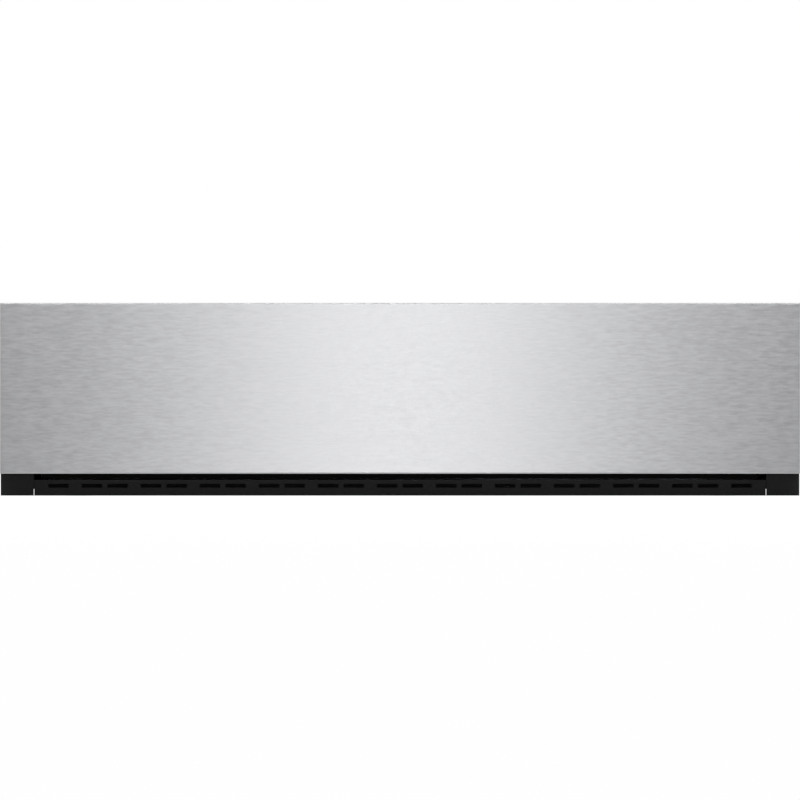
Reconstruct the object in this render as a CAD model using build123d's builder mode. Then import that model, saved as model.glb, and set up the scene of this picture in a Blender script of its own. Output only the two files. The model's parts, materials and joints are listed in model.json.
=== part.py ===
from build123d import *
import os
from math import cos, radians, sin

# A built-in vacuum sealing drawer for a 140 mm kitchen niche, standing in its niche with the
# drawer shut. Millimetres. X runs across the front, the front faces -Y and Z points up. The origin
# is at the middle of the footprint, on the niche floor.

# The whole drawer
panel_width = 595.0
panel_height = 127.0
overall_depth = 570.0
strip_height = 16.4
floor_gap = 0.3

# Front panel: a folded steel pan closed from behind by a flat carrier
panel_sheet = 1.2
panel_depth = 16.0
panel_edge_radius = 1.0
carrier_sheet = 2.0
carrier_tab_inset = 6.0
stiffener_height = 24.0
stiffener_margin = 40.0
push_gap = 3.5

# Casing, its cover and its feet
casing_sheet = 1.0
casing_bend = 1.0
casing_flange = 14.0
casing_drop = 6.7
foot_height = 6.0
foot_radius = 12.5
foot_taper = 1.5
foot_inset_x = 34.0
foot_inset_y = 50.0
floor_setback = 14.0
bead_width = 14.0
bead_rise = 2.0
inlet_rim = 3.0
louvre_slots = 8
louvre_height = 4.0
louvre_margin = 5.0
window_side_gap = 8.0
window_front_gap = 3.8
window_rear_gap = 16.0
window_radius = 12.0
window_lip = 3.0
screw_across = 7.0
screw_head = 2.5
screw_margin = 20.0
screws_along = 5

# Fixing trims at both ends and the ventilation grille between them
trim_width = 24.6
trim_sheet = 2.0
trim_overlap = 1.1
trim_leg = 30.0
trim_gap = 0.4
screw_hole_radius = 2.25
screw_hole_inset = 8.5
screw_row_low = 35.0
screw_row_pitch = 75.0
grille_height = 11.7
slot_width = 15.2
slot_height = 3.0
slot_floor = 6.1
slot_pair_pitch = 44.0
slot_pair_spacing = 19.1
slot_pairs = 13
grille_end_margin = 4.0
grille_ledge_depth = 30.0
grille_stop_gap = 0.3

# Ball slides, drawn on the left side: u runs from the casing wall inwards, v from the rail's middle
travel_share = 0.84
push_travel = 3.0
slide_thickness = 12.7
slide_height = 45.7
slide_setback = 6.5
slide_rear_gap = 37.0
middle_shortening = 20.0
rail_sheet = 1.3
rail_bend = 0.5
rail_lip = 2.2
rail_reach = 11.0
outer_ball = 4.0
inner_ball = 3.2
ball_play = 0.1
cage_sheet = 0.6
cage_gap = 0.5
ball_pitch = 30.0
pocket_play = 0.2
cage_reach_gap = 0.8
inner_lip_gap = 0.7
middle_lip_cut = 0.85
inner_lip_cut = 1.35
outer_cage_front_gap = 5.0
outer_cage_rear_gap = 8.0
inner_cage_end_gap = 2.0

# Push-to-open ejectors under the slides
ejector_length = 115.0
ejector_stroke_share = 0.08
plunger_radius = 3.0
plunger_guide = 66.4
plunger_cap_radius = 4.5
plunger_cap_length = 2.0
ejector_barrel_radius = 5.2
ejector_plate_height = 18.0
ejector_plate = 2.5
ejector_web = 6.0
ejector_end_wall = 4.0
ejector_wall_gap = 0.8
ejector_level = 10.0
plunger_play = 2.7
striker_rear_gap = 184.0
striker_sheet = 4.0
striker_gap = 0.3
striker_height = 14.0
striker_wall_gap = 1.5

# Drawer tub and deck
tub_sheet = 1.0
tub_bend = 1.0
tub_flange = 10.0
tub_lift = 6.0
tub_rear_gap = 28.0
deck_sheet = 1.2
deck_overhang = 6.7
deck_lip = 8.0
deck_bend = 1.0
deck_rear_lip = 4.0
deck_screw_inset = 12.0
vent_pitch = 12.0
vent_width = 4.0
vent_slots = 5
motor_vent_share = 0.31

# Vacuum chamber, its lid and the seal between them
chamber_width = 350.0
chamber_front_gap = 4.0
chamber_rear_gap = 28.0
chamber_corner = 35.0
chamber_floor_radius = 15.0
chamber_sheet = 1.0
chamber_rim = 18.0
chamber_fit = 0.5
seal_gap = 0.3
seal_height = 4.5
seal_width = 8.0
seal_offset = 8.0
glass_thickness = 12.0
glass_arris = 1.0
glass_side_overlap = 19.0
glass_front_overlap = 8.0
glass_rear_overlap = 16.0
glass_corner = 20.0
lid_clearance = 2.5
rail_clip_sheet = 1.5
rail_clip_bend = 0.3
rail_grip = 14.0
hinge_offset = 16.0
hinge_axis_lift = 5.5
hinge_spread = 150.0
hinge_arm_width = 24.0
arm_root = 1.0
barrel_radius = 7.0
pin_radius = 4.0
pin_fit = 0.08
pin_seat = 0.02
ear_sheet = 5.0
ear_radius = 7.5
ear_gap = 0.4
bracket_sheet = 3.0
bracket_foot = 12.0
bracket_front = 15.0
bracket_rear = 13.0
bracket_screw_setback = 10.0
damper_radius = 8.0
damper_length = 26.0
handle_length = 140.0
handle_grip = 8.0
handle_nose = 10.0
handle_nose_height = 3.0
handle_edge_radius = 1.5

# Sealing bar and what lifts it
bar_length = 280.0
bar_width = 18.0
bar_height = 21.5
bar_wall_gap = 13.0
band_height = 0.5
band_width = 4.0
band_margin = 4.0
bar_corner = 2.0
bar_groove_drop = 9.0
bar_groove_height = 3.0
bar_groove_depth = 1.5
bar_lift = 6.0
counter_width = 16.0
counter_height = 8.0
counter_overhang = 5.0
counter_corner = 3.0
counter_pad_height = 6.0
counter_pad_width = 10.0
counter_pad_overhang = 3.0
counter_pad_edge = 1.5
lift_spread = 110.0
lift_pin_radius = 4.0
lift_pin_fit = 0.1
lift_body_radius = 20.0
lift_body_height = 17.2
lift_wall = 2.0
lift_roof = 2.5
lift_side_wall = 3.0
lift_seat = 0.3
lift_neck_radius = 8.0
lift_neck_fit = 0.2
lift_neck_height = 6.0

# Control strip
control_width = 260.0
control_depth = 32.0
control_glass_thickness = 4.0
control_glass_rise = 0.8
control_front_gap = 5.0
control_fit = 0.4
control_corner = 2.0
tray_depth = 16.0
tray_wall = 2.0
tray_ledge = 2.0
tray_post_radius = 3.0
tray_post_height = 5.0
tray_post_inset_x = 10.0
tray_post_inset_y = 7.0
board_sheet = 1.6
display_margin_x = 4.0
display_margin_y = 3.0
display_width = 56.0
display_depth = 18.0
display_gap = 0.5
key_radius = 4.5
key_pitch_share = 0.23

# Vacuum pump with its motor, across the rear bay
pump_rear_gap = 18.0
pump_depth = 106.0
pump_length = 75.0
pump_top_gap = 4.0
pump_wall = 5.0
pump_corner = 5.0
pump_grooves = 6
groove_width = 4.0
groove_depth = 4.0
groove_foot = 12.0
groove_head = 8.0
back_groove_gap = 7.0
sight_radius = 11.0
sight_depth = 5.0
sight_bevel = 1.5
sight_level = 18.0
mount_height = 10.0
mount_radius = 10.0
mount_waist = 7.5
mount_inset = 16.0
cradle_sheet = 2.0
cradle_bend = 1.0
cradle_margin = 4.0
cradle_lip = 6.0
motor_left = -70.0
motor_length = 125.0
motor_wall = 3.0
motor_plate = 4.0
motor_top_gap = 1.0
motor_foot_width = 48.0
motor_foot_height = 9.0
motor_foot_inset = 10.0
fin_height = 3.0
fin_count = 20
fin_thickness = 2.0
fin_inset = 8.0
fin_sink = 1.0
stator_thickness = 13.0
stator_inset = 16.0
winding_overhang = 10.0
winding_inset = 2.0
air_gap = 0.5
shaft_radius = 6.0
shaft_fit = 0.08
cowl_length = 25.0
cowl_overlap = 6.0
cowl_fit = 0.1
cowl_wall = 1.5
cowl_edge_radius = 4.0
cowl_slots = 10
cowl_slot_length = 14.0
cowl_slot_width = 5.0
wheel_gap = 2.0
wheel_end_gap = 4.0
wheel_hub_wall = 5.0
wheel_blades = 8
wheel_blade = 1.6
wheel_blade_inset = 1.0
pump_bore_radius = 28.0
rotor_radius = 22.0
rotor_end_gap = 0.5
vane_gap = 0.5
vane_count = 3
vane_slot_depth = 6.1
vane_slot_width = 1.6
filter_radius = 25.0
filter_gap = 5.0
filter_setback = 32.0
filter_top_gap = 8.0
filter_shoulder = 8.0
filter_band_level = 22.0
filter_band_height = 6.0
filter_band_rise = 1.5
filter_pipe_radius = 7.0
filter_pipe_rise = 20.0
hose_radius = 5.0
port_reach = 8.0
return_inset = 20.0
return_drop = 3.0
nozzle_place = 120.0
nozzle_radius = 8.0
nozzle_fit = 0.2
nozzle_collar = 4.0
nozzle_reach = 12.0
rose_radius = 12.0
rose_sheet = 2.0
rose_holes = 6
rose_hole_radius = 1.5
rose_hole_ring = 7.0
elbow_half = 7.0
elbow_gap = 3.0

# Electrics and cooling
toroid_radius = 45.0
toroid_bore = 18.0
toroid_height = 45.0
toroid_shoulder = 7.0
washer_radius = 33.0
washer_dish = 2.0
washer_sheet = 1.0
toroid_bolt_radius = 5.0
toroid_bolt_rise = 7.0
toroid_wall_gap = 24.0
toroid_rear_gap = 20.0
board_width = 62.0
board_length = 240.0
board_rise = 8.0
board_wall_gap = 9.0
board_setback = 10.0
board_margin = 8.0
post_inset = 6.0
post_radius = 3.0
sink_place = 20.0
sink_width = 28.0
sink_height = 30.0
sink_base = 4.0
sink_fin = 2.0
sink_pitch = 8.0
sink_fins = 6
relay_place = 80.0
relay_width = 16.0
relay_length = 20.0
relay_height = 16.0
relay_pitch = 26.0
capacitor_place = 90.0
capacitor_radius = 11.0
capacitor_height = 32.0
capacitor_pitch = 28.0
terminal_place = 30.0
terminal_depth = 10.0
terminal_height = 12.0
valve_width = 50.0
valve_length = 80.0
valve_height = 26.0
valve_corner = 3.0
valve_wall_gap = 14.0
valve_setback = 90.0
coil_width = 28.0
coil_length = 20.0
coil_height = 25.0
coil_rise = 3.0
core_radius = 5.0
core_length = 34.0
fan_size = 80.0
fan_depth = 25.0
fan_bore = 38.0
fan_wall_gap = 14.0
fan_blades = 7
fan_tip_gap = 1.0
fan_corner = 4.0
fan_hole_radius = 2.15
fan_hole_spread = 71.5
fan_hub_radius = 15.0
fan_hub_overlap = 1.0
fan_spindle_radius = 2.0
fan_spindle_fit = 0.08
fan_front_gap = 2.0
fan_hub_gap = 0.5
fan_bore_gap = 6.0
fan_strut_width = 4.0
fan_strut_depth = 3.0
fan_strut_sink = 1.0
fan_blade = 1.4
fan_blade_margin = 4.0
fan_root_angle = 38.0
fan_tip_angle = 24.0
inlet_side_gap = 74.0
inlet_width = 48.0
inlet_height = 27.0
inlet_level = 40.0
inlet_corner = 3.0
inlet_side_lip = 4.0
inlet_end_lip = 3.0
inlet_body_depth = 20.0
socket_width = 24.0
socket_height = 16.0
socket_depth = 16.0
socket_bevel = 4.0
contact_spread = 7.0
contact_drop = 4.0
contact_width = 2.0
contact_height = 4.0
contact_setback = 3.0

# Planes and levels that follow from the sizes above
front_y = -overall_depth / 2
rear_y = overall_depth / 2
panel_half = panel_width / 2
pan_rear_y = front_y + panel_depth
carrier_rear_y = pan_rear_y + carrier_sheet
trim_front_y = carrier_rear_y + push_gap
casing_front_y = trim_front_y + trim_sheet
casing_rear_y = rear_y - inlet_rim
panel_bottom_z = floor_gap + strip_height
panel_top_z = panel_bottom_z + panel_height
casing_half = panel_half - trim_width + trim_overlap
casing_inner = casing_half - casing_sheet
casing_top_z = panel_top_z - casing_drop
cover_under_z = casing_top_z - casing_sheet
floor_top_z = foot_height + casing_sheet
floor_front_y = casing_front_y + floor_setback
inlet_place = -casing_half + inlet_side_gap

tub_half = casing_inner - slide_thickness
tub_inner = tub_half - tub_sheet
tub_front_y = carrier_rear_y
tub_rear_y = casing_rear_y - casing_sheet - tub_rear_gap
tub_bottom_z = floor_top_z + tub_lift
tub_floor_z = tub_bottom_z + tub_sheet

glass_top_z = cover_under_z - lid_clearance - rail_clip_sheet
glass_under_z = glass_top_z - glass_thickness
rim_top_z = glass_under_z - seal_height - seal_gap
deck_top_z = rim_top_z - chamber_sheet
deck_under_z = deck_top_z - deck_sheet
chamber_under_z = tub_floor_z + lift_body_height
chamber_floor_z = chamber_under_z + chamber_sheet

control_front_y = tub_front_y + control_front_gap
control_rear_y = control_front_y + control_depth
control_y = (control_front_y + control_rear_y) / 2
control_under_z = deck_top_z + control_glass_rise - control_glass_thickness

pump_base_z = tub_floor_z + mount_height + cradle_sheet
pump_top_z = deck_under_z - pump_top_gap
shaft_z = (pump_base_z + pump_top_z) / 2
shaft_y = tub_rear_y - tub_sheet - pump_rear_gap - pump_depth / 2
pump_front_y = shaft_y - pump_depth / 2
pump_back_y = shaft_y + pump_depth / 2

# The chamber takes the room between the control strip with the lid's handle and the pump's bay
chamber_half = chamber_width / 2
chamber_front_y = control_rear_y + chamber_front_gap + handle_nose + glass_front_overlap + chamber_rim
chamber_rear_y = pump_front_y - chamber_rear_gap
chamber_length = chamber_rear_y - chamber_front_y
chamber_middle = (chamber_front_y + chamber_rear_y) / 2

glass_half = chamber_half + chamber_rim + glass_side_overlap
glass_front_y = chamber_front_y - chamber_rim - glass_front_overlap
glass_rear_y = chamber_rear_y + chamber_rim + glass_rear_overlap
hinge_y = glass_rear_y + hinge_offset
hinge_z = glass_under_z + hinge_axis_lift
handle_front_y = glass_front_y - handle_nose
bar_y = chamber_front_y + bar_wall_gap + bar_width / 2
counter_under_z = glass_under_z - counter_height - counter_pad_height
band_top_z = counter_under_z - seal_gap - bar_lift
bar_top_z = band_top_z - band_height
bar_under_z = bar_top_z - bar_height

slide_z = (tub_bottom_z + deck_under_z) / 2
slide_front_y = casing_front_y + slide_setback
slide_rear_y = casing_rear_y - slide_rear_gap
slide_length = slide_rear_y - slide_front_y
travel = slide_length * travel_share
plunger_length = travel * ejector_stroke_share + plunger_guide
middle_front_y = slide_front_y + push_travel
middle_rear_y = middle_front_y + slide_length - middle_shortening
inner_front_y = slide_front_y - push_travel
inner_rear_y = inner_front_y + slide_length
outer_inside = slide_height / 2 - rail_sheet
middle_outside = outer_inside - outer_ball - 2 * ball_play
middle_inside = middle_outside - rail_sheet
inner_outside = middle_inside - inner_ball - 2 * ball_play
outer_row = (outer_inside + middle_outside) / 2
inner_row = (middle_inside + inner_outside) / 2
outer_cage_u = rail_sheet + cage_gap
middle_web_u = outer_cage_u + cage_sheet + cage_gap
inner_cage_u = middle_web_u + rail_sheet + cage_gap
outer_cage_reach = rail_reach - rail_sheet - cage_reach_gap
inner_cage_reach = slide_thickness - rail_sheet - cage_gap
inner_near_u = inner_cage_u + cage_sheet + inner_lip_gap
outer_ball_u = outer_cage_reach - pocket_play - outer_ball / 2
inner_ball_u = inner_cage_reach - pocket_play - inner_ball / 2

motor_right = motor_left + motor_length
pump_right = motor_right + pump_length
motor_radius = (pump_top_z - pump_base_z) / 2 - motor_top_gap
motor_inner = motor_radius - fin_height - motor_wall
rotor_core = motor_inner - stator_thickness - air_gap
hose_y = chamber_rear_y + chamber_sheet + hose_radius + elbow_gap
hose_z = deck_under_z - 3 * hose_radius
nozzle_right = nozzle_place + nozzle_reach
return_y = pump_back_y - hose_radius - return_inset
return_z = hose_z - return_drop
valve_right = tub_inner - valve_wall_gap
valve_left = valve_right - valve_width
valve_x = (valve_left + valve_right) / 2
valve_y = chamber_rear_y - valve_setback
valve_rear_y = valve_y + valve_length / 2
port_z = tub_floor_z + valve_height / 2
port_front_x = valve_left + valve_width / 3
port_back_x = valve_right - valve_width / 4
port_face_y = valve_rear_y + port_reach
fan_x = tub_inner - fan_wall_gap - fan_size / 2
fan_z = (tub_floor_z + deck_under_z) / 2
fan_front_y = tub_rear_y - tub_sheet - fan_depth
ejector_x = casing_inner - ejector_barrel_radius - ejector_wall_gap
ejector_z = tub_bottom_z + ejector_level
striker_rear_y = casing_rear_y - striker_rear_gap + striker_sheet / 2
plunger_tip_y = striker_rear_y + push_travel + striker_gap
ejector_front_y = plunger_tip_y + plunger_cap_length + plunger_play
board_left = -tub_inner + board_wall_gap
board_front_y = chamber_front_y + board_setback
board_z = tub_floor_z + board_rise
toroid_x = -tub_inner + toroid_wall_gap + toroid_radius
toroid_y = tub_rear_y - tub_sheet - toroid_rear_gap - toroid_radius

to_right = (1, 0, 0)
to_front = (0, -1, 0)
to_rear = (0, 1, 0)
upwards = (0, 0, 1)


def block(x0, x1, y0, y1, z0, z1, mode=Mode.ADD):
    """A plain block between two opposite corners, for plates, ribs and square cut-outs."""
    with Locations(((x0 + x1) / 2, (y0 + y1) / 2, (z0 + z1) / 2)):
        Box(x1 - x0, y1 - y0, z1 - z0, mode=mode)


def rod(start, direction, radius, length, mode=Mode.ADD):
    """A round bar or bore that starts at a point and runs along a direction."""
    with Locations(Plane(origin=start, z_dir=direction)):
        Cylinder(radius, length, align=(Align.CENTER, Align.CENTER, Align.MIN), mode=mode)


def sheet_outline(points, sheet, bend):
    """Edges of bent sheet seen from its end: a square-cornered outline and its twin, one sheet to
    the left of it, joined at both ends. Every bend has the same inside radius."""
    normals = []
    for (x0, y0), (x1, y1) in zip(points, points[1:]):
        run = ((x1 - x0) ** 2 + (y1 - y0) ** 2) ** 0.5
        normals.append(((y0 - y1) / run, (x1 - x0) / run))
    twin = [(points[0][0] + sheet * normals[0][0], points[0][1] + sheet * normals[0][1])]
    radii = []
    twin_radii = []
    for point, before, after in zip(points[1:-1], normals, normals[1:]):
        twin.append((point[0] + sheet * (before[0] + after[0]), point[1] + sheet * (before[1] + after[1])))
        turns_left = before[0] * after[1] - before[1] * after[0] > 0
        radii.append(bend + sheet if turns_left else bend)
        twin_radii.append(bend if turns_left else bend + sheet)
    twin.append((points[-1][0] + sheet * normals[-1][0], points[-1][1] + sheet * normals[-1][1]))
    with BuildLine() as outline:
        FilletPolyline(*points, radius=radii)
        FilletPolyline(*twin, radius=twin_radii)
        Line(points[0], twin[0])
        Line(points[-1], twin[-1])
    return outline.edges()


def bent_sheet(points, sheet, bend, y0, y1):
    """Sheet metal bent along an X-Z outline and as long as y0 to y1."""
    with BuildSketch(Plane.XZ.offset(-y1)) as section:
        make_face(sheet_outline(points, sheet, bend))
    extrude(section.sketch, amount=y1 - y0)


def bent_sheet_across(points, sheet, bend, x0, x1):
    """Sheet metal bent along a Y-Z outline and as long as x0 to x1."""
    with BuildSketch(Plane.YZ.offset(x0)) as section:
        make_face(sheet_outline(points, sheet, bend))
    extrude(section.sketch, amount=x1 - x0)


def hex_head(x, y, z):
    """The head of a hexagon screw standing on a level face."""
    with BuildSketch(Plane.XY.offset(z)) as head:
        with Locations((x, y)):
            RegularPolygon(screw_across / 2, 6, major_radius=False)
    extrude(head.sketch, amount=screw_head)


def screw_row(front, rear):
    """Evenly spaced places along Y, one screw margin in from both ends."""
    run = rear - front - 2 * screw_margin
    return [front + screw_margin + run * step / (screws_along - 1) for step in range(screws_along)]


def save(name, node):
    """Labels a finished piece and writes it as its own STEP file."""
    node.part.label = name
    export_step(node.part, f"parts/{name}.step")


os.makedirs("parts", exist_ok=True)

# Front panel: one brushed sheet folded back on all four sides
with BuildPart() as front_panel:
    block(-panel_half, panel_half, front_y, pan_rear_y, panel_bottom_z, panel_top_z)
    fillet(front_panel.faces().sort_by(Axis.Y)[0].edges(), panel_edge_radius)
    block(-panel_half + panel_sheet, panel_half - panel_sheet, front_y + panel_sheet, pan_rear_y,
          panel_bottom_z + panel_sheet, panel_top_z - panel_sheet, mode=Mode.SUBTRACT)
save("front_panel", front_panel)

# Front carrier: the plate that closes the pan, with two hat-shaped stiffeners that reach the
# pan's skin and a lower tab that hangs in front of the tub
stiffener_half = panel_half - stiffener_margin
stiffener_levels = [panel_bottom_z + panel_height * 0.3, panel_bottom_z + panel_height * 0.7]
with BuildPart() as front_carrier:
    block(-panel_half + panel_sheet, panel_half - panel_sheet, pan_rear_y, carrier_rear_y,
          panel_bottom_z + panel_sheet, panel_top_z - panel_sheet)
    block(-casing_inner + carrier_tab_inset, casing_inner - carrier_tab_inset, pan_rear_y,
          carrier_rear_y, tub_bottom_z, panel_bottom_z + panel_sheet)
    for level in stiffener_levels:
        z0 = level - stiffener_height / 2
        z1 = level + stiffener_height / 2
        block(-stiffener_half, stiffener_half, front_y + panel_sheet, pan_rear_y, z0, z1)
        block(-stiffener_half + carrier_sheet, stiffener_half - carrier_sheet,
              front_y + panel_sheet + carrier_sheet, carrier_rear_y,
              z0 + carrier_sheet, z1 - carrier_sheet, mode=Mode.SUBTRACT)
save("front_carrier", front_carrier)

# Casing shell: floor and side walls bent from one sheet, with a rear wall, pressed floor beads,
# louvres behind the fan and the pump, and a cut-out for the mains inlet
bead_places = [-casing_half / 2, 0.0, casing_half / 2]
bead_length = casing_rear_y - casing_front_y - 2 * foot_inset_y
bead_y = (casing_front_y + casing_rear_y) / 2
with BuildPart() as casing_shell:
    bent_sheet([(-casing_half + casing_flange, cover_under_z), (-casing_half, cover_under_z),
                (-casing_half, foot_height), (casing_half, foot_height),
                (casing_half, cover_under_z), (casing_half - casing_flange, cover_under_z)],
               casing_sheet, casing_bend, casing_front_y, casing_rear_y)
    block(-casing_inner, casing_inner, casing_rear_y - casing_sheet, casing_rear_y,
          floor_top_z, cover_under_z - casing_sheet)
    block(-casing_inner, casing_inner, casing_rear_y - casing_flange, casing_rear_y,
          cover_under_z - casing_sheet, cover_under_z)
    block(-casing_half, casing_half, casing_front_y, floor_front_y, foot_height,
          floor_top_z + casing_bend, mode=Mode.SUBTRACT)
    with BuildSketch(Plane.XY.offset(floor_top_z)):
        with Locations(*[(x, bead_y) for x in bead_places]):
            SlotOverall(bead_length, bead_width, rotation=90)
    extrude(amount=bead_rise)
    with BuildSketch(Plane.XY.offset(foot_height)):
        with Locations(*[(x, bead_y) for x in bead_places]):
            SlotOverall(bead_length - 2 * casing_sheet, bead_width - 2 * casing_sheet, rotation=90)
    extrude(amount=bead_rise, mode=Mode.SUBTRACT)
    with BuildSketch(Plane.XZ.offset(-casing_rear_y)):
        for louvre_x in (fan_x, (motor_right + pump_right) / 2):
            with Locations((louvre_x, fan_z)):
                with GridLocations(1, fan_size / louvre_slots, 1, louvre_slots):
                    Rectangle(fan_size - 2 * louvre_margin, louvre_height)
        with Locations((inlet_place, inlet_level)):
            Rectangle(inlet_width - 2 * inlet_side_lip, inlet_height - 2 * inlet_end_lip)
    extrude(amount=casing_sheet, mode=Mode.SUBTRACT)
save("casing_shell", casing_shell)

# Top cover: a flat sheet with the window that the lid swings through, stiffened by a raised lip
window_half = glass_half + window_side_gap
window_front_y = handle_front_y - window_front_gap
window_rear_y = hinge_y + window_rear_gap
window_y = (window_front_y + window_rear_y) / 2
window_length = window_rear_y - window_front_y
with BuildPart() as casing_top_cover:
    block(-casing_half, casing_half, casing_front_y, casing_rear_y, cover_under_z, casing_top_z)
    with BuildSketch(Plane.XY.offset(casing_top_z)):
        with Locations((0, window_y)):
            RectangleRounded(2 * (window_half + casing_sheet), window_length + 2 * casing_sheet,
                             window_radius + casing_sheet)
    extrude(amount=window_lip)
    with BuildSketch(Plane.XY.offset(cover_under_z)):
        with Locations((0, window_y)):
            RectangleRounded(2 * window_half, window_length, window_radius)
    extrude(amount=casing_sheet + window_lip, mode=Mode.SUBTRACT)
save("casing_top_cover", casing_top_cover)

# Cover screws: a row along both sides and the rear
with BuildPart() as cover_screws:
    for screw_y in screw_row(casing_front_y, casing_rear_y):
        hex_head(-casing_half + casing_flange / 2, screw_y, casing_top_z)
        hex_head(casing_half - casing_flange / 2, screw_y, casing_top_z)
    for screw_x in (-casing_half / 2, 0, casing_half / 2):
        hex_head(screw_x, casing_rear_y - casing_flange / 2, casing_top_z)
save("cover_screws", cover_screws)

# Casing feet: four turned plastic feet, slightly tapered
with BuildPart() as casing_feet:
    for foot_x in (-casing_half + foot_inset_x, casing_half - foot_inset_x):
        for foot_y in (casing_front_y + foot_inset_y, casing_rear_y - foot_inset_y):
            with Locations((foot_x, foot_y, foot_height / 2)):
                Cone(foot_radius - foot_taper, foot_radius, foot_height)
save("casing_feet", casing_feet)

# Fixing trims: the black ends of the strip, an upright plate in front of the casing's edge with a
# leg along its side and two holes for the cabinet screws
trim_inner = panel_half - trim_width
screw_hole_x = panel_half - screw_hole_inset
with BuildPart() as flange_right:
    block(trim_inner, panel_half, trim_front_y, casing_front_y, floor_gap, casing_top_z)
    block(casing_half, casing_half + trim_sheet, casing_front_y, casing_front_y + trim_leg,
          floor_gap, casing_top_z)
    with BuildSketch(Plane.XZ.offset(-casing_front_y)):
        with Locations((screw_hole_x, screw_row_low), (screw_hole_x, screw_row_low + screw_row_pitch)):
            Circle(screw_hole_radius)
    extrude(amount=trim_sheet, mode=Mode.SUBTRACT)
save("flange_right", flange_right)

with BuildPart() as flange_left:
    mirror(flange_right.part, about=Plane.YZ)
save("flange_left", flange_left)

# Ventilation grille: pairs of slots at a steady pitch, of which the outermost pairs lose the slot
# that would run into the grille's end, and a ledge under the casing floor with a stop before it
grille_half = trim_inner - trim_gap
ledge_half = grille_half - grille_end_margin
slot_limit = ledge_half - slot_width / 2
slot_centres = []
for pair in range(slot_pairs):
    for side in (-0.5, 0.5):
        slot_x = (pair - (slot_pairs - 1) / 2) * slot_pair_pitch + side * slot_pair_spacing
        if abs(slot_x) < slot_limit:
            slot_centres.append((slot_x, slot_floor + slot_height / 2))
with BuildPart() as vent_grille:
    block(-grille_half, grille_half, trim_front_y, casing_front_y, floor_gap, floor_gap + grille_height)
    block(-ledge_half, ledge_half, casing_front_y, casing_front_y + grille_ledge_depth,
          foot_height - trim_sheet, foot_height)
    block(-ledge_half, ledge_half, floor_front_y - grille_stop_gap - trim_sheet,
          floor_front_y - grille_stop_gap, foot_height, floor_top_z)
    with BuildSketch(Plane.XZ.offset(-casing_front_y)):
        with Locations(*slot_centres):
            Rectangle(slot_width, slot_height)
    extrude(amount=trim_sheet, mode=Mode.SUBTRACT)
save("vent_grille", vent_grille)


# Ball slides
def rail(points, sheet, y0, y1):
    """A rail or cage of the left slide, bent along points given as (u, v)."""
    outline = [(-casing_inner + u, slide_z + v) for u, v in points]
    bent_sheet(outline, sheet, rail_bend, y0, y1)


def pockets(u, ball, y0, y1):
    """Square pockets for a row of balls at the top and the bottom of a cage."""
    count = int((y1 - y0 - ball) // ball_pitch) + 1
    with Locations((-casing_inner + u, (y0 + y1) / 2, slide_z)):
        with GridLocations(1, ball_pitch, 1, count):
            Box(ball + 2 * pocket_play, ball + 2 * pocket_play, slide_height, mode=Mode.SUBTRACT)


outer_far = slide_height / 2
with BuildPart() as slide_outer_left:
    rail([(rail_reach, outer_far - rail_sheet - rail_lip), (rail_reach, outer_far), (0, outer_far),
          (0, -outer_far), (rail_reach, -outer_far), (rail_reach, -outer_far + rail_sheet + rail_lip)],
         rail_sheet, slide_front_y, slide_rear_y)
save("slide_outer_left", slide_outer_left)

middle_reach = rail_reach - ball_play
middle_web_far = middle_web_u + rail_sheet
middle_lip_far = middle_outside + rail_lip - middle_lip_cut
with BuildPart() as slide_middle_left:
    rail([(middle_reach, -middle_lip_far), (middle_reach, -middle_inside),
          (middle_web_far, -middle_inside), (middle_web_far, middle_inside),
          (middle_reach, middle_inside), (middle_reach, middle_lip_far)],
         rail_sheet, middle_front_y, middle_rear_y)
save("slide_middle_left", slide_middle_left)

inner_web_u = slide_thickness - rail_sheet
inner_inside = inner_outside - rail_sheet
inner_lip_far = inner_outside + rail_lip - inner_lip_cut
with BuildPart() as slide_inner_left:
    rail([(inner_near_u, inner_lip_far), (inner_near_u, inner_inside), (inner_web_u, inner_inside),
          (inner_web_u, -inner_inside), (inner_near_u, -inner_inside), (inner_near_u, -inner_lip_far)],
         rail_sheet, inner_front_y, inner_rear_y)
save("slide_inner_left", slide_inner_left)

# Each cage keeps inside both of its rails with the drawer fully out, then rolls back by its share
outer_cage_front_y = slide_front_y + travel / 4 + outer_cage_front_gap
outer_cage_rear_y = middle_rear_y - travel / 4 - outer_cage_rear_gap
inner_cage_front_y = middle_front_y + travel / 4 + inner_cage_end_gap
inner_cage_rear_y = inner_rear_y - travel / 4 - inner_cage_end_gap
outer_cage_far = outer_row + cage_sheet / 2
inner_cage_far = inner_row + cage_sheet / 2
with BuildPart() as cage_outer_left:
    rail([(outer_cage_reach, outer_cage_far), (outer_cage_u, outer_cage_far),
          (outer_cage_u, -outer_cage_far), (outer_cage_reach, -outer_cage_far)],
         cage_sheet, outer_cage_front_y, outer_cage_rear_y)
    pockets(outer_ball_u, outer_ball, outer_cage_front_y, outer_cage_rear_y)
save("cage_outer_left", cage_outer_left)

with BuildPart() as cage_inner_left:
    rail([(inner_cage_reach, inner_cage_far), (inner_cage_u, inner_cage_far),
          (inner_cage_u, -inner_cage_far), (inner_cage_reach, -inner_cage_far)],
         cage_sheet, inner_cage_front_y, inner_cage_rear_y)
    pockets(inner_ball_u, inner_ball, inner_cage_front_y, inner_cage_rear_y)
save("cage_inner_left", cage_inner_left)

left_slide_parts = {"slide_outer": slide_outer_left, "slide_middle": slide_middle_left,
                    "slide_inner": slide_inner_left, "cage_outer": cage_outer_left,
                    "cage_inner": cage_inner_left}
for slide_part, left_one in left_slide_parts.items():
    with BuildPart() as right_one:
        mirror(left_one.part, about=Plane.YZ)
    save(f"{slide_part}_right", right_one)

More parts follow.
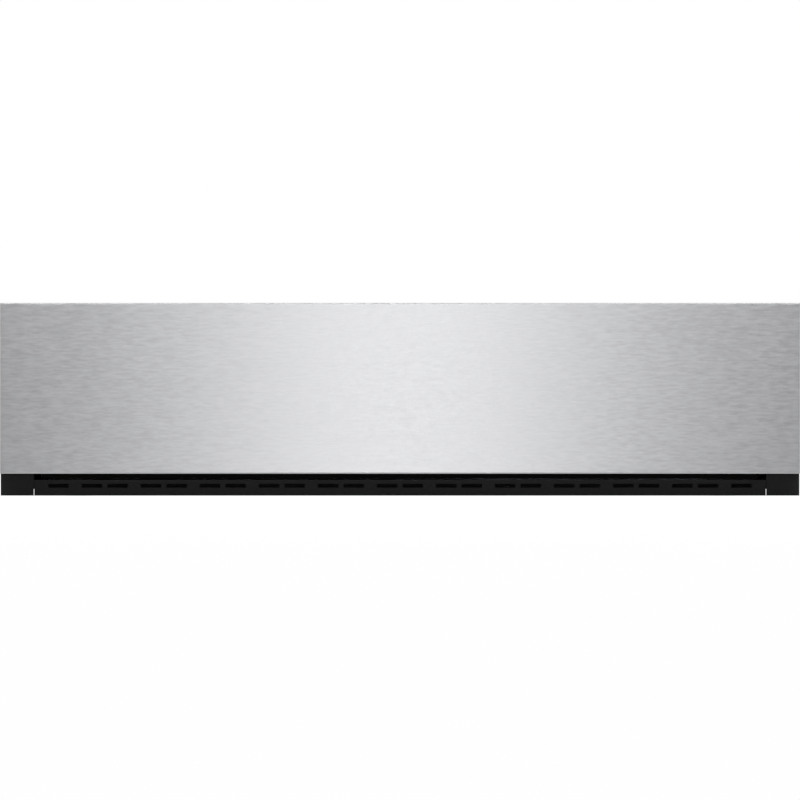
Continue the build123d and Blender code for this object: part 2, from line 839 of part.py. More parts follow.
# Push-to-open ejectors: a guide barrel on a wall plate with a spring plunger inside
ejector_rear_y = ejector_front_y + ejector_length
with BuildPart() as ejector_right:
    block(casing_inner - ejector_plate, casing_inner, ejector_front_y, ejector_rear_y,
          ejector_z - ejector_plate_height / 2, ejector_z + ejector_plate_height / 2)
    rod((ejector_x, ejector_front_y, ejector_z), to_rear, ejector_barrel_radius, ejector_length)
    block(ejector_x, casing_inner, ejector_front_y, ejector_rear_y,
          ejector_z - ejector_web / 2, ejector_z + ejector_web / 2)
    rod((ejector_x, ejector_front_y, ejector_z), to_rear, plunger_radius + pin_fit,
        ejector_length - ejector_end_wall, mode=Mode.SUBTRACT)
save("ejector_right", ejector_right)

with BuildPart() as ejector_left:
    mirror(ejector_right.part, about=Plane.YZ)
save("ejector_left", ejector_left)

with BuildPart() as ejector_plungers:
    rod((ejector_x, plunger_tip_y, ejector_z), to_rear, plunger_cap_radius, plunger_cap_length)
    rod((ejector_x, plunger_tip_y + plunger_cap_length, ejector_z), to_rear, plunger_radius,
        plunger_length)
    mirror(about=Plane.YZ)
save("ejector_plungers", ejector_plungers)

# Mains inlet: an appliance socket with three pins and two bevelled corners, let into the rear wall
inlet_body_half = inlet_width / 2 - inlet_side_lip
inlet_body_rise = inlet_height / 2 - inlet_end_lip
with BuildPart() as mains_inlet:
    block(inlet_place - inlet_width / 2, inlet_place + inlet_width / 2, casing_rear_y, rear_y,
          inlet_level - inlet_height / 2, inlet_level + inlet_height / 2)
    fillet(mains_inlet.edges().filter_by(Axis.Y), inlet_corner)
    block(inlet_place - inlet_body_half, inlet_place + inlet_body_half, casing_rear_y - inlet_body_depth,
          casing_rear_y, inlet_level - inlet_body_rise, inlet_level + inlet_body_rise)
    with BuildSketch(Plane.XZ.offset(-rear_y)) as socket:
        with Locations((inlet_place, inlet_level)):
            Rectangle(socket_width, socket_height)
        chamfer(socket.vertices().group_by(Axis.Y)[-1], socket_bevel)
    extrude(amount=socket_depth, mode=Mode.SUBTRACT)
    for side, drop in ((-1, contact_drop), (0, 0.0), (1, contact_drop)):
        contact_x = inlet_place + side * contact_spread
        contact_z = inlet_level - drop
        block(contact_x - contact_width / 2, contact_x + contact_width / 2, rear_y - socket_depth,
              rear_y - contact_setback, contact_z - contact_height / 2, contact_z + contact_height / 2)
save("mains_inlet", mains_inlet)

# Drawer tub: floor and sides bent from one sheet, end walls, a hole for the cooling fan, vents in
# the floor and the two strikers that the ejectors push
motor_vent_x = motor_left + motor_length * motor_vent_share
with BuildPart() as drawer_tub:
    bent_sheet([(-tub_half + tub_flange, deck_under_z), (-tub_half, deck_under_z),
                (-tub_half, tub_bottom_z), (tub_half, tub_bottom_z),
                (tub_half, deck_under_z), (tub_half - tub_flange, deck_under_z)],
               tub_sheet, tub_bend, tub_front_y, tub_rear_y)
    block(-tub_inner, tub_inner, tub_front_y, tub_front_y + tub_sheet, tub_floor_z, deck_under_z)
    block(-tub_inner, tub_inner, tub_rear_y - tub_sheet, tub_rear_y, tub_floor_z, deck_under_z)
    block(-tub_inner, tub_inner, tub_rear_y - tub_flange, tub_rear_y,
          deck_under_z - tub_sheet, deck_under_z)
    for side in (-1, 1):
        inner_x = side * (tub_half - tub_sheet / 2)
        outer_x = side * (casing_inner - striker_wall_gap)
        block(min(inner_x, outer_x), max(inner_x, outer_x), striker_rear_y - striker_sheet,
              striker_rear_y, ejector_z - striker_height / 2, ejector_z + striker_height / 2)
    rod((fan_x, tub_rear_y, fan_z), to_front, fan_bore, tub_sheet, mode=Mode.SUBTRACT)
    with BuildSketch(Plane.XY.offset(tub_bottom_z)):
        with Locations((board_left + board_width / 2, board_front_y + board_length / 2),
                       (motor_vent_x, shaft_y), (toroid_x, toroid_y)):
            with GridLocations(vent_pitch, 1, vent_slots, 1):
                Rectangle(vent_width, fan_size)
    extrude(amount=tub_sheet, mode=Mode.SUBTRACT)
save("drawer_tub", drawer_tub)

# Deck: the steel top of the drawer, with lips over the slides and cut-outs for chamber and controls
deck_half = tub_half + deck_overhang
chamber_outer_corner = chamber_corner + chamber_sheet
with BuildPart() as deck:
    bent_sheet([(-deck_half, deck_under_z - deck_lip), (-deck_half, deck_top_z),
                (deck_half, deck_top_z), (deck_half, deck_under_z - deck_lip)][::-1],
               deck_sheet, deck_bend, tub_front_y, tub_rear_y + deck_rear_lip)
    with BuildSketch(Plane.XY.offset(deck_under_z)):
        with Locations((0, chamber_middle)):
            RectangleRounded(chamber_width + 2 * (chamber_sheet + chamber_fit),
                             chamber_length + 2 * (chamber_sheet + chamber_fit),
                             chamber_outer_corner + chamber_fit)
        with Locations((0, control_y)):
            Rectangle(control_width + 2 * control_fit, control_depth + 2 * control_fit)
    extrude(amount=deck_sheet, mode=Mode.SUBTRACT)
save("deck", deck)

# Vacuum chamber: a deep-drawn tray with a flat rim for the seal
with BuildPart() as vacuum_chamber:
    with BuildSketch(Plane.XY.offset(chamber_under_z)):
        with Locations((0, chamber_middle)):
            RectangleRounded(chamber_width + 2 * chamber_sheet, chamber_length + 2 * chamber_sheet,
                             chamber_outer_corner)
    extrude(amount=rim_top_z - chamber_under_z)
    fillet(vacuum_chamber.faces().sort_by(Axis.Z)[0].edges(), chamber_floor_radius + chamber_sheet)
    offset(amount=-chamber_sheet, openings=vacuum_chamber.faces().sort_by(Axis.Z)[-1])
    with BuildSketch(Plane.XY.offset(deck_top_z)):
        with Locations((0, chamber_middle)):
            RectangleRounded(chamber_width + 2 * chamber_rim, chamber_length + 2 * chamber_rim,
                             chamber_corner + chamber_rim)
            RectangleRounded(chamber_width, chamber_length, chamber_corner, mode=Mode.SUBTRACT)
    extrude(amount=chamber_sheet)
    for lift_x in (-lift_spread, lift_spread):
        rod((lift_x, bar_y, chamber_under_z), upwards, lift_neck_radius + lift_neck_fit,
            lift_neck_height, mode=Mode.SUBTRACT)
    rod((nozzle_place, chamber_rear_y, hose_z), to_rear, nozzle_radius, chamber_sheet,
        mode=Mode.SUBTRACT)
save("vacuum_chamber", vacuum_chamber)

# Suction nozzle: a perforated rose inside the chamber and an elbow outside it
with BuildPart() as suction_nozzle:
    rod((nozzle_place, chamber_rear_y - rose_sheet, hose_z), to_rear, rose_radius, rose_sheet)
    rod((nozzle_place, chamber_rear_y, hose_z), to_rear, nozzle_radius - nozzle_fit, nozzle_collar)
    block(nozzle_place - elbow_half, nozzle_place + elbow_half, chamber_rear_y + chamber_sheet,
          hose_y + elbow_half, hose_z - elbow_half, hose_z + elbow_half)
    rod((nozzle_place, hose_y, hose_z), to_right, hose_radius, nozzle_reach)
    with BuildSketch(Plane.XZ.offset(-chamber_rear_y)):
        with Locations((nozzle_place, hose_z)):
            with PolarLocations(rose_hole_ring, rose_holes):
                Circle(rose_hole_radius)
    extrude(amount=rose_sheet, mode=Mode.SUBTRACT)
save("suction_nozzle", suction_nozzle)

# Sealing bar: an extruded profile with a groove along both flanks, on two lift pins that each have
# a piston below the chamber
groove_z = bar_top_z - bar_groove_drop + bar_groove_height / 2
with BuildPart() as sealing_bar:
    with BuildSketch(Plane.YZ.offset(-bar_length / 2)):
        with Locations((bar_y, bar_under_z + bar_height / 2)):
            RectangleRounded(bar_width, bar_height, bar_corner)
        with Locations((bar_y, groove_z)):
            with GridLocations(bar_width, 1, 2, 1):
                Rectangle(2 * bar_groove_depth, bar_groove_height, mode=Mode.SUBTRACT)
    extrude(amount=bar_length)
save("sealing_bar", sealing_bar)

with BuildPart() as sealing_band:
    block(-bar_length / 2 + band_margin, bar_length / 2 - band_margin, bar_y - band_width / 2,
          bar_y + band_width / 2, bar_top_z, band_top_z)
save("sealing_band", sealing_band)

lift_bottom_z = tub_floor_z + lift_seat
lift_bore_z = lift_bottom_z + lift_wall
lift_roof_z = chamber_under_z - lift_roof
lift_neck_z = chamber_floor_z + lift_neck_height
piston_under_z = lift_bore_z + lift_seat
piston_top_z = lift_roof_z - lift_seat - bar_lift
lift_bore_radius = lift_body_radius - lift_side_wall
with BuildPart() as lift_pins:
    for lift_x in (-lift_spread, lift_spread):
        rod((lift_x, bar_y, piston_under_z), upwards, lift_bore_radius - lift_pin_fit,
            piston_top_z - piston_under_z)
        rod((lift_x, bar_y, piston_top_z), upwards, lift_pin_radius, bar_under_z - piston_top_z)
save("lift_pins", lift_pins)

with BuildPart() as lift_cylinders:
    for lift_x in (-lift_spread, lift_spread):
        rod((lift_x, bar_y, lift_bottom_z), upwards, lift_body_radius, chamber_under_z - lift_bottom_z)
        rod((lift_x, bar_y, chamber_under_z), upwards, lift_neck_radius, lift_neck_z - chamber_under_z)
        rod((lift_x, bar_y, lift_bore_z), upwards, lift_bore_radius, lift_roof_z - lift_bore_z,
            mode=Mode.SUBTRACT)
        rod((lift_x, bar_y, lift_roof_z), upwards, lift_pin_radius + lift_pin_fit,
            lift_neck_z - lift_roof_z, mode=Mode.SUBTRACT)
save("lift_cylinders", lift_cylinders)

# Lid: thick glass, a seal loop under it, a rear rail on two hinge arms, and the front handle
glass_y = (glass_front_y + glass_rear_y) / 2
with BuildPart() as lid_glass:
    with BuildSketch(Plane.XY.offset(glass_under_z)):
        with Locations((0, glass_y)):
            RectangleRounded(2 * glass_half, glass_rear_y - glass_front_y, glass_corner)
    extrude(amount=glass_thickness)
    chamfer(lid_glass.faces().sort_by(Axis.Z)[0].edges(), glass_arris)
    chamfer(lid_glass.faces().sort_by(Axis.Z)[-1].edges(), glass_arris)
save("lid_glass", lid_glass)

seal_inner = seal_offset
seal_outer = seal_offset + seal_width
with BuildPart() as lid_seal:
    with BuildSketch(Plane.XY.offset(rim_top_z + seal_gap)):
        with Locations((0, chamber_middle)):
            RectangleRounded(chamber_width + 2 * seal_outer, chamber_length + 2 * seal_outer,
                             chamber_corner + seal_outer)
            RectangleRounded(chamber_width + 2 * seal_inner, chamber_length + 2 * seal_inner,
                             chamber_corner + seal_inner, mode=Mode.SUBTRACT)
    extrude(amount=seal_height)
save("lid_seal", lid_seal)

counter_half = bar_length / 2 + counter_overhang
counter_pad_half = bar_length / 2 + counter_pad_overhang
with BuildPart() as counter_bar:
    block(-counter_half, counter_half, bar_y - counter_width / 2, bar_y + counter_width / 2,
          glass_under_z - counter_height, glass_under_z)
    fillet(counter_bar.edges().filter_by(Axis.Z), counter_corner)
save("counter_bar", counter_bar)

with BuildPart() as counter_pad:
    block(-counter_pad_half, counter_pad_half, bar_y - counter_pad_width / 2,
          bar_y + counter_pad_width / 2, counter_under_z, glass_under_z - counter_height)
    fillet(counter_pad.faces().sort_by(Axis.Z)[0].edges().filter_by(Axis.X), counter_pad_edge)
save("counter_pad", counter_pad)

rail_front_y = glass_rear_y - rail_grip
rail_half = glass_half - glass_corner
rail_back_y = glass_rear_y + rail_clip_sheet
arm_root_z = hinge_z - barrel_radius + arm_root
with BuildPart() as hinge_rail:
    bent_sheet_across([(rail_front_y, glass_under_z - rail_clip_sheet),
                       (rail_back_y, glass_under_z - rail_clip_sheet),
                       (rail_back_y, glass_top_z + rail_clip_sheet),
                       (rail_front_y, glass_top_z + rail_clip_sheet)],
                      rail_clip_sheet, rail_clip_bend, -rail_half, rail_half)
    for arm_x in (-hinge_spread, hinge_spread):
        x0 = arm_x - hinge_arm_width / 2
        x1 = arm_x + hinge_arm_width / 2
        with BuildSketch(Plane.YZ.offset(x0)):
            with Locations((hinge_y, hinge_z)):
                Circle(barrel_radius)
            with BuildLine():
                Polyline((rail_back_y, arm_root_z), (hinge_y, hinge_z - barrel_radius),
                         (hinge_y, hinge_z + barrel_radius), (rail_back_y, glass_top_z),
                         (rail_back_y, arm_root_z))
            make_face()
            with Locations((hinge_y, hinge_z)):
                Circle(pin_radius + pin_fit, mode=Mode.SUBTRACT)
        extrude(amount=x1 - x0)
save("hinge_rail", hinge_rail)

with BuildPart() as lid_handle:
    bent_sheet_across([(glass_front_y + handle_grip, glass_top_z + rail_clip_sheet),
                       (glass_front_y - rail_clip_sheet, glass_top_z + rail_clip_sheet),
                       (glass_front_y - rail_clip_sheet, glass_under_z - rail_clip_sheet),
                       (glass_front_y + handle_grip, glass_under_z - rail_clip_sheet)],
                      rail_clip_sheet, rail_clip_bend, -handle_length / 2, handle_length / 2)
    block(-handle_length / 2, handle_length / 2, handle_front_y, glass_front_y - rail_clip_sheet,
          glass_top_z - handle_nose_height, glass_top_z + rail_clip_sheet)
    fillet(lid_handle.faces().sort_by(Axis.Y)[0].edges().filter_by(Axis.X), handle_edge_radius)
save("lid_handle", lid_handle)

# Hinge brackets on the deck, each with two ears and a closed friction unit, and their pins
bracket_top_z = deck_top_z + bracket_sheet
ear_inner = hinge_arm_width / 2 + ear_gap
ear_outer = ear_inner + ear_sheet
with BuildPart() as hinge_brackets:
    for arm_x in (-hinge_spread, hinge_spread):
        block(arm_x - ear_outer - bracket_foot, arm_x + ear_outer + bracket_foot,
              hinge_y - bracket_front, hinge_y + bracket_rear, deck_top_z, bracket_top_z)
        for ear_x in (arm_x - ear_outer, arm_x + ear_inner):
            block(ear_x, ear_x + ear_sheet, hinge_y - ear_radius, hinge_y + ear_radius,
                  bracket_top_z, hinge_z)
            rod((ear_x, hinge_y, hinge_z), to_right, ear_radius, ear_sheet)
            rod((ear_x, hinge_y, hinge_z), to_right, pin_radius + pin_seat, ear_sheet,
                mode=Mode.SUBTRACT)
        outward = 1 if arm_x > 0 else -1
        damper_x = arm_x + outward * ear_outer
        rod((damper_x, hinge_y, hinge_z), (outward, 0, 0), damper_radius, damper_length)
save("hinge_brackets", hinge_brackets)

with BuildPart() as hinge_pins:
    for arm_x in (-hinge_spread, hinge_spread):
        rod((arm_x - ear_outer, hinge_y, hinge_z), to_right, pin_radius, 2 * ear_outer)
save("hinge_pins", hinge_pins)

# Control strip: glass over a tray with the display board
control_half = control_width / 2
tray_half = control_half + control_fit + tray_wall
tray_rim_half = control_half - tray_ledge
tray_front_y = control_front_y - control_fit - tray_wall
tray_rear_y = control_rear_y + control_fit + tray_wall
tray_bottom_z = deck_under_z - tray_depth
with BuildPart() as control_glass:
    block(-control_half, control_half, control_front_y, control_rear_y, control_under_z,
          control_under_z + control_glass_thickness)
    fillet(control_glass.edges().filter_by(Axis.Z), control_corner)
save("control_glass", control_glass)

tray_floor_z = tray_bottom_z + tray_wall
with BuildPart() as control_tray:
    block(-tray_half, tray_half, tray_front_y, tray_rear_y, tray_bottom_z, deck_under_z)
    block(-control_half - control_fit, control_half + control_fit, control_front_y - control_fit,
          control_rear_y + control_fit, control_under_z, deck_under_z, mode=Mode.SUBTRACT)
    block(-tray_rim_half, tray_rim_half, control_front_y + tray_ledge, control_rear_y - tray_ledge,
          tray_floor_z, control_under_z, mode=Mode.SUBTRACT)
    for post_x in (-control_half + tray_post_inset_x, control_half - tray_post_inset_x):
        for post_y in (control_front_y + tray_post_inset_y, control_rear_y - tray_post_inset_y):
            rod((post_x, post_y, tray_floor_z), upwards, tray_post_radius, tray_post_height)
save("control_tray", control_tray)

# Display board: a screen block in the middle and three touch springs on each side of it
display_half = control_half - display_margin_x
display_floor_z = tray_floor_z + tray_post_height
display_deck_z = display_floor_z + board_sheet
display_top_z = control_under_z - display_gap
key_pitch = control_half * key_pitch_share
with BuildPart() as display_board:
    block(-display_half, display_half, control_front_y + display_margin_y,
          control_rear_y - display_margin_y, display_floor_z, display_deck_z)
    block(-display_width / 2, display_width / 2, control_y - display_depth / 2,
          control_y + display_depth / 2, display_deck_z, display_top_z)
    for side in (-1, 1):
        for key in range(3):
            key_x = side * key_pitch * (key + 1.5)
            rod((key_x, control_y, display_deck_z), upwards, key_radius, display_top_z - display_deck_z)
save("display_board", display_board)

# Pump cradle on rubber mounts
cradle_left = motor_left + cradle_margin
cradle_right = pump_right - cradle_margin
cradle_front_y = pump_front_y + cradle_margin
cradle_rear_y = pump_back_y - cradle_margin
cradle_lip_z = pump_base_z - cradle_sheet - cradle_lip
with BuildPart() as pump_cradle:
    bent_sheet_across([(cradle_rear_y, cradle_lip_z), (cradle_rear_y, pump_base_z),
                       (cradle_front_y, pump_base_z), (cradle_front_y, cradle_lip_z)],
                      cradle_sheet, cradle_bend, cradle_left, cradle_right)
save("pump_cradle", pump_cradle)

with BuildPart() as rubber_mounts:
    for mount_x in (cradle_left + mount_inset, cradle_right - mount_inset):
        for mount_y in (cradle_front_y + mount_inset, cradle_rear_y - mount_inset):
            with Locations((mount_x, mount_y, tub_floor_z + mount_height / 4)):
                Cone(mount_radius, mount_waist, mount_height / 2)
            with Locations((mount_x, mount_y, tub_floor_z + mount_height * 3 / 4)):
                Cone(mount_waist, mount_radius, mount_height / 2)
save("rubber_mounts", rubber_mounts)

# Pump head: a ribbed block with the eccentric bore of a rotary vane pump and its hose port
bore_eccentricity = pump_bore_radius - rotor_radius - vane_gap
sight_z = pump_base_z + sight_level
back_groove_z = sight_z + sight_radius + back_groove_gap
groove_top_z = pump_top_z - groove_head
with BuildPart() as pump_head:
    block(motor_right, pump_right, pump_front_y, pump_back_y, pump_base_z, pump_top_z)
    fillet(pump_head.edges().filter_by(Axis.X), pump_corner)
    for groove in range(pump_grooves):
        groove_middle = motor_right + pump_length * (groove + 1) / (pump_grooves + 1)
        x0 = groove_middle - groove_width / 2
        x1 = groove_middle + groove_width / 2
        block(x0, x1, pump_front_y, pump_front_y + groove_depth, pump_base_z + groove_foot,
              groove_top_z, mode=Mode.SUBTRACT)
        block(x0, x1, pump_back_y - groove_depth, pump_back_y, back_groove_z, groove_top_z,
              mode=Mode.SUBTRACT)
        block(x0, x1, pump_front_y + groove_foot, pump_back_y - groove_foot,
              pump_top_z - groove_depth, pump_top_z, mode=Mode.SUBTRACT)
    rod((motor_right + pump_wall, shaft_y, shaft_z + bore_eccentricity), to_right, pump_bore_radius,
        pump_length - 2 * pump_wall, mode=Mode.SUBTRACT)
    rod((motor_right, shaft_y, shaft_z), to_right, shaft_radius + shaft_fit, pump_wall,
        mode=Mode.SUBTRACT)
    rod((pump_right, return_y, return_z), to_right, hose_radius, port_reach)
save("pump_head", pump_head)

with BuildPart() as oil_sight_glass:
    rod((motor_right + pump_length / 2, pump_back_y, sight_z), to_rear, sight_radius, sight_depth)
    chamfer(oil_sight_glass.faces().sort_by(Axis.Y)[-1].edges(), sight_bevel)
save("oil_sight_glass", oil_sight_glass)

# The rotor turns with the shaft; its three vanes lie drawn in
rotor_left = motor_right + pump_wall + rotor_end_gap
rotor_right = pump_right - pump_wall - rotor_end_gap
with BuildPart() as vane_rotor:
    rod((rotor_left, shaft_y, shaft_z), to_right, rotor_radius, rotor_right - rotor_left)
    with BuildSketch(Plane.YZ.offset(rotor_left)):
        with Locations((shaft_y, shaft_z)):
            with PolarLocations(rotor_radius, vane_count, start_angle=90):
                Rectangle(2 * vane_slot_depth, vane_slot_width)
    extrude(amount=rotor_right - rotor_left, mode=Mode.SUBTRACT)
save("vane_rotor", vane_rotor)

# Motor: finned housing with two bearing plates, wound stator and the shaft with its core and fan
stator_left = motor_left + motor_plate + stator_inset
stator_right = motor_right - motor_plate - stator_inset
winding_left = stator_left - winding_overhang
winding_length = stator_right + winding_overhang - winding_left
fin_root = motor_radius - fin_height - fin_sink
with BuildPart() as motor_housing:
    rod((motor_left, shaft_y, shaft_z), to_right, motor_radius - fin_height, motor_length)
    with BuildSketch(Plane.YZ.offset(motor_left + fin_inset)):
        with Locations((shaft_y, shaft_z)):
            with PolarLocations((fin_root + motor_radius) / 2, fin_count):
                Rectangle(motor_radius - fin_root, fin_thickness)
    extrude(amount=motor_length - 2 * fin_inset)
    block(motor_left + motor_foot_inset, motor_right - motor_foot_inset, shaft_y - motor_foot_width / 2,
          shaft_y + motor_foot_width / 2, pump_base_z, pump_base_z + motor_foot_height)
    rod((motor_left + motor_plate, shaft_y, shaft_z), to_right, motor_inner,
        motor_length - 2 * motor_plate, mode=Mode.SUBTRACT)
    rod((motor_left, shaft_y, shaft_z), to_right, shaft_radius + shaft_fit, motor_length,
        mode=Mode.SUBTRACT)
save("motor_housing", motor_housing)

with BuildPart() as motor_stator:
    rod((stator_left, shaft_y, shaft_z), to_right, motor_inner, stator_right - stator_left)
    rod((winding_left, shaft_y, shaft_z), to_right, motor_inner - winding_inset, winding_length)
    rod((winding_left, shaft_y, shaft_z), to_right, motor_inner - stator_thickness, winding_length,
        mode=Mode.SUBTRACT)
save("motor_stator", motor_stator)

cowl_left = motor_left - cowl_length
cowl_bore = motor_radius - fin_height + cowl_fit
wheel_radius = cowl_bore - wheel_gap
hub_radius = shaft_radius + wheel_hub_wall
blade_root = hub_radius - wheel_blade_inset
hub_left = cowl_left + wheel_end_gap + wheel_blade_inset
hub_length = motor_left - wheel_end_gap - hub_left
with BuildPart() as motor_shaft:
    rod((cowl_left + wheel_end_gap, shaft_y, shaft_z), to_right, shaft_radius,
        rotor_left - cowl_left - wheel_end_gap)
    rod((stator_left, shaft_y, shaft_z), to_right, rotor_core, stator_right - stator_left)
    rod((hub_left, shaft_y, shaft_z), to_right, hub_radius, hub_length)
    with BuildSketch(Plane.YZ.offset(hub_left + wheel_blade_inset)):
        with Locations((shaft_y, shaft_z)):
            with PolarLocations((blade_root + wheel_radius) / 2, wheel_blades):
                Rectangle(wheel_radius - blade_root, wheel_blade)
    extrude(amount=hub_length - 2 * wheel_blade_inset)
save("motor_shaft", motor_shaft)

with BuildPart() as fan_cowl:
    rod((cowl_left, shaft_y, shaft_z), to_right, cowl_bore + cowl_wall, cowl_length + cowl_overlap)
    fillet(fan_cowl.faces().sort_by(Axis.X)[0].edges(), cowl_edge_radius)
    rod((cowl_left + cowl_wall, shaft_y, shaft_z), to_right, cowl_bore,
        cowl_length + cowl_overlap - cowl_wall, mode=Mode.SUBTRACT)
    with BuildSketch(Plane.YZ.offset(cowl_left)):
        with Locations((shaft_y, shaft_z)):
            with PolarLocations(cowl_bore * 0.62, cowl_slots):
                Rectangle(cowl_slot_length, cowl_slot_width)
    extrude(amount=cowl_wall, mode=Mode.SUBTRACT)
save("fan_cowl", fan_cowl)

# Exhaust filter: a canister beside the pump with a short pipe from the pump's end face
filter_x = pump_right + filter_gap + filter_radius
filter_y = pump_front_y + filter_setback
filter_height = deck_under_z - filter_top_gap - tub_floor_z
with BuildPart() as exhaust_filter:
    rod((filter_x, filter_y, tub_floor_z), upwards, filter_radius, filter_height)
    fillet(exhaust_filter.faces().sort_by(Axis.Z)[-1].edges(), filter_shoulder)
    with Locations((filter_x, filter_y, tub_floor_z + filter_band_level)):
        Cylinder(filter_radius + filter_band_rise, filter_band_height)
    rod((pump_right, filter_y, shaft_z + filter_pipe_rise), to_right, filter_pipe_radius,
        filter_gap + filter_radius)
save("exhaust_filter", exhaust_filter)

# Transformer: a wound ring clamped by a dished washer and a bolt
toroid_top_z = tub_floor_z + toroid_height
with BuildPart() as transformer:
    with BuildSketch(Plane.XZ.offset(-toroid_y)) as ring_section:
        with Locations((toroid_x + (toroid_radius + toroid_bore) / 2, tub_floor_z + toroid_height / 2)):
            Rectangle(toroid_radius - toroid_bore, toroid_height)
        chamfer(ring_section.vertices(), toroid_shoulder)
    revolve(axis=Axis((toroid_x, toroid_y, 0), upwards))
    rod((toroid_x, toroid_y, toroid_top_z - washer_dish), upwards, washer_radius,
        washer_dish + washer_sheet)
    rod((toroid_x, toroid_y, tub_floor_z), upwards, toroid_bolt_radius, toroid_height + toroid_bolt_rise)
save("transformer", transformer)

# Power board on standoffs, with heat sink, relays, capacitors and a terminal strip
board_top_z = board_z + board_sheet
board_right = board_left + board_width
board_rear_y = board_front_y + board_length
part_left = board_left + board_margin
sink_front_y = board_front_y + sink_place
sink_length = sink_pitch * (sink_fins - 1) + sink_fin
capacitor_x = board_right - board_margin - capacitor_radius
with BuildPart() as power_board:
    block(board_left, board_right, board_front_y, board_rear_y, board_z, board_top_z)
    for post_x in (board_left + post_inset, board_right - post_inset):
        for post_y in (board_front_y + post_inset, board_rear_y - post_inset):
            rod((post_x, post_y, tub_floor_z), upwards, post_radius, board_rise)
    block(part_left, part_left + sink_width, sink_front_y, sink_front_y + sink_length,
          board_top_z, board_top_z + sink_base)
    for fin in range(sink_fins):
        fin_y = sink_front_y + fin * sink_pitch
        block(part_left, part_left + sink_width, fin_y, fin_y + sink_fin, board_top_z,
              board_top_z + sink_height)
    for relay in range(3):
        relay_y = board_front_y + relay_place + relay * relay_pitch
        block(part_left, part_left + relay_width, relay_y, relay_y + relay_length, board_top_z,
              board_top_z + relay_height)
    for capacitor in range(3):
        capacitor_y = board_front_y + capacitor_place + capacitor * capacitor_pitch
        rod((capacitor_x, capacitor_y, board_top_z), upwards, capacitor_radius, capacitor_height)
    block(part_left, board_right - board_margin, board_rear_y - terminal_place - terminal_depth,
          board_rear_y - terminal_place, board_top_z, board_top_z + terminal_height)
save("power_board", power_board)

# Solenoid valves: three coils on one manifold with two hose ports
manifold_top_z = tub_floor_z + valve_height
with BuildPart() as solenoid_valves:
    block(valve_left, valve_right, valve_y - valve_length / 2, valve_rear_y, tub_floor_z, manifold_top_z)
    fillet(solenoid_valves.edges().filter_by(Axis.Z), valve_corner)
    for coil in range(3):
        coil_y = valve_y + (coil - 1) * valve_length / 3
        rod((valve_x, coil_y, manifold_top_z), upwards, core_radius, core_length)
        block(valve_x - coil_width / 2, valve_x + coil_width / 2, coil_y - coil_length / 2,
              coil_y + coil_length / 2, manifold_top_z + coil_rise, manifold_top_z + coil_rise + coil_height)
    for port_x in (port_front_x, port_back_x):
        rod((port_x, valve_rear_y, port_z), to_rear, hose_radius, port_face_y - valve_rear_y)
save("solenoid_valves", solenoid_valves)


def hose(points):
    """A silicone hose along square-cornered runs, each bend as wide as its two runs allow."""
    runs = [(Vector(b) - Vector(a)).length for a, b in zip(points, points[1:])]
    radii = [0.45 * min(before, after) for before, after in zip(runs, runs[1:])]
    with BuildLine() as path:
        FilletPolyline(*points, radius=radii)
    start = path.line.edges().sort_by_distance(points[0])[0]
    heading = (Vector(points[1]) - Vector(points[0])).normalized()
    with BuildSketch(Plane(origin=points[0], z_dir=heading)) as section:
        Circle(hose_radius)
    sweep(section.sketch, path=path.line)
    print("hose radii", [round(radius, 1) for radius in radii])


with BuildPart() as vacuum_hoses:
    hose([(nozzle_right, hose_y, hose_z), (port_front_x, hose_y, hose_z),
          (port_front_x, hose_y, port_z), (port_front_x, port_face_y, port_z)])
    hose([(port_back_x, port_face_y, port_z), (port_back_x, return_y, port_z),
          (port_back_x, return_y, return_z), (pump_right + port_reach, return_y, return_z)])
save("vacuum_hoses", vacuum_hoses)

# Cooling fan against the rear wall: a square frame with corner holes, four struts that carry the
# spindle, and a seven-bladed rotor
fan_rear_y = tub_rear_y - tub_sheet
strut_y = fan_rear_y - fan_strut_depth
strut_half = fan_bore + fan_strut_sink
with BuildPart() as cooling_fan_frame:
    with BuildSketch(Plane.XZ.offset(-fan_rear_y)):
        with Locations((fan_x, fan_z)):
            RectangleRounded(fan_size, fan_size, fan_corner)
            Circle(fan_bore, mode=Mode.SUBTRACT)
            with GridLocations(fan_hole_spread, fan_hole_spread, 2, 2):
                Circle(fan_hole_radius, mode=Mode.SUBTRACT)
    extrude(amount=fan_depth)
    block(fan_x - strut_half, fan_x + strut_half, strut_y, fan_rear_y, fan_z - fan_strut_width / 2,
          fan_z + fan_strut_width / 2)
    block(fan_x - fan_strut_width / 2, fan_x + fan_strut_width / 2, strut_y, fan_rear_y,
          fan_z - strut_half, fan_z + strut_half)
    rod((fan_x, strut_y, fan_z), to_rear, fan_hub_radius, fan_strut_depth)
    rod((fan_x, strut_y, fan_z), to_front, fan_spindle_radius, fan_depth - fan_strut_depth - fan_bore_gap)
save("cooling_fan_frame", cooling_fan_frame)

hub_front_y = fan_front_y + fan_front_gap
blade_chord = fan_depth - 2 * fan_blade_margin
with BuildPart() as fan_rotor:
    rod((fan_x, hub_front_y, fan_z), to_rear, fan_hub_radius, strut_y - fan_hub_gap - hub_front_y)
    for blade in range(fan_blades):
        angle = 360 * blade / fan_blades
        across = Plane(origin=(fan_x, (fan_front_y + strut_y) / 2, fan_z),
                       x_dir=(0, 1, 0), z_dir=(cos(radians(angle)), 0, sin(radians(angle))))
        with BuildSketch(across.offset(fan_hub_radius - fan_hub_overlap)) as root:
            Rectangle(blade_chord, fan_blade, rotation=fan_root_angle)
        with BuildSketch(across.offset(fan_bore - fan_tip_gap)) as tip:
            Rectangle(blade_chord, fan_blade, rotation=fan_tip_angle)
        loft([root.sketch.face(), tip.sketch.face()])
    rod((fan_x, fan_rear_y, fan_z), to_front, fan_spindle_radius + fan_spindle_fit,
        fan_depth - fan_bore_gap, mode=Mode.SUBTRACT)
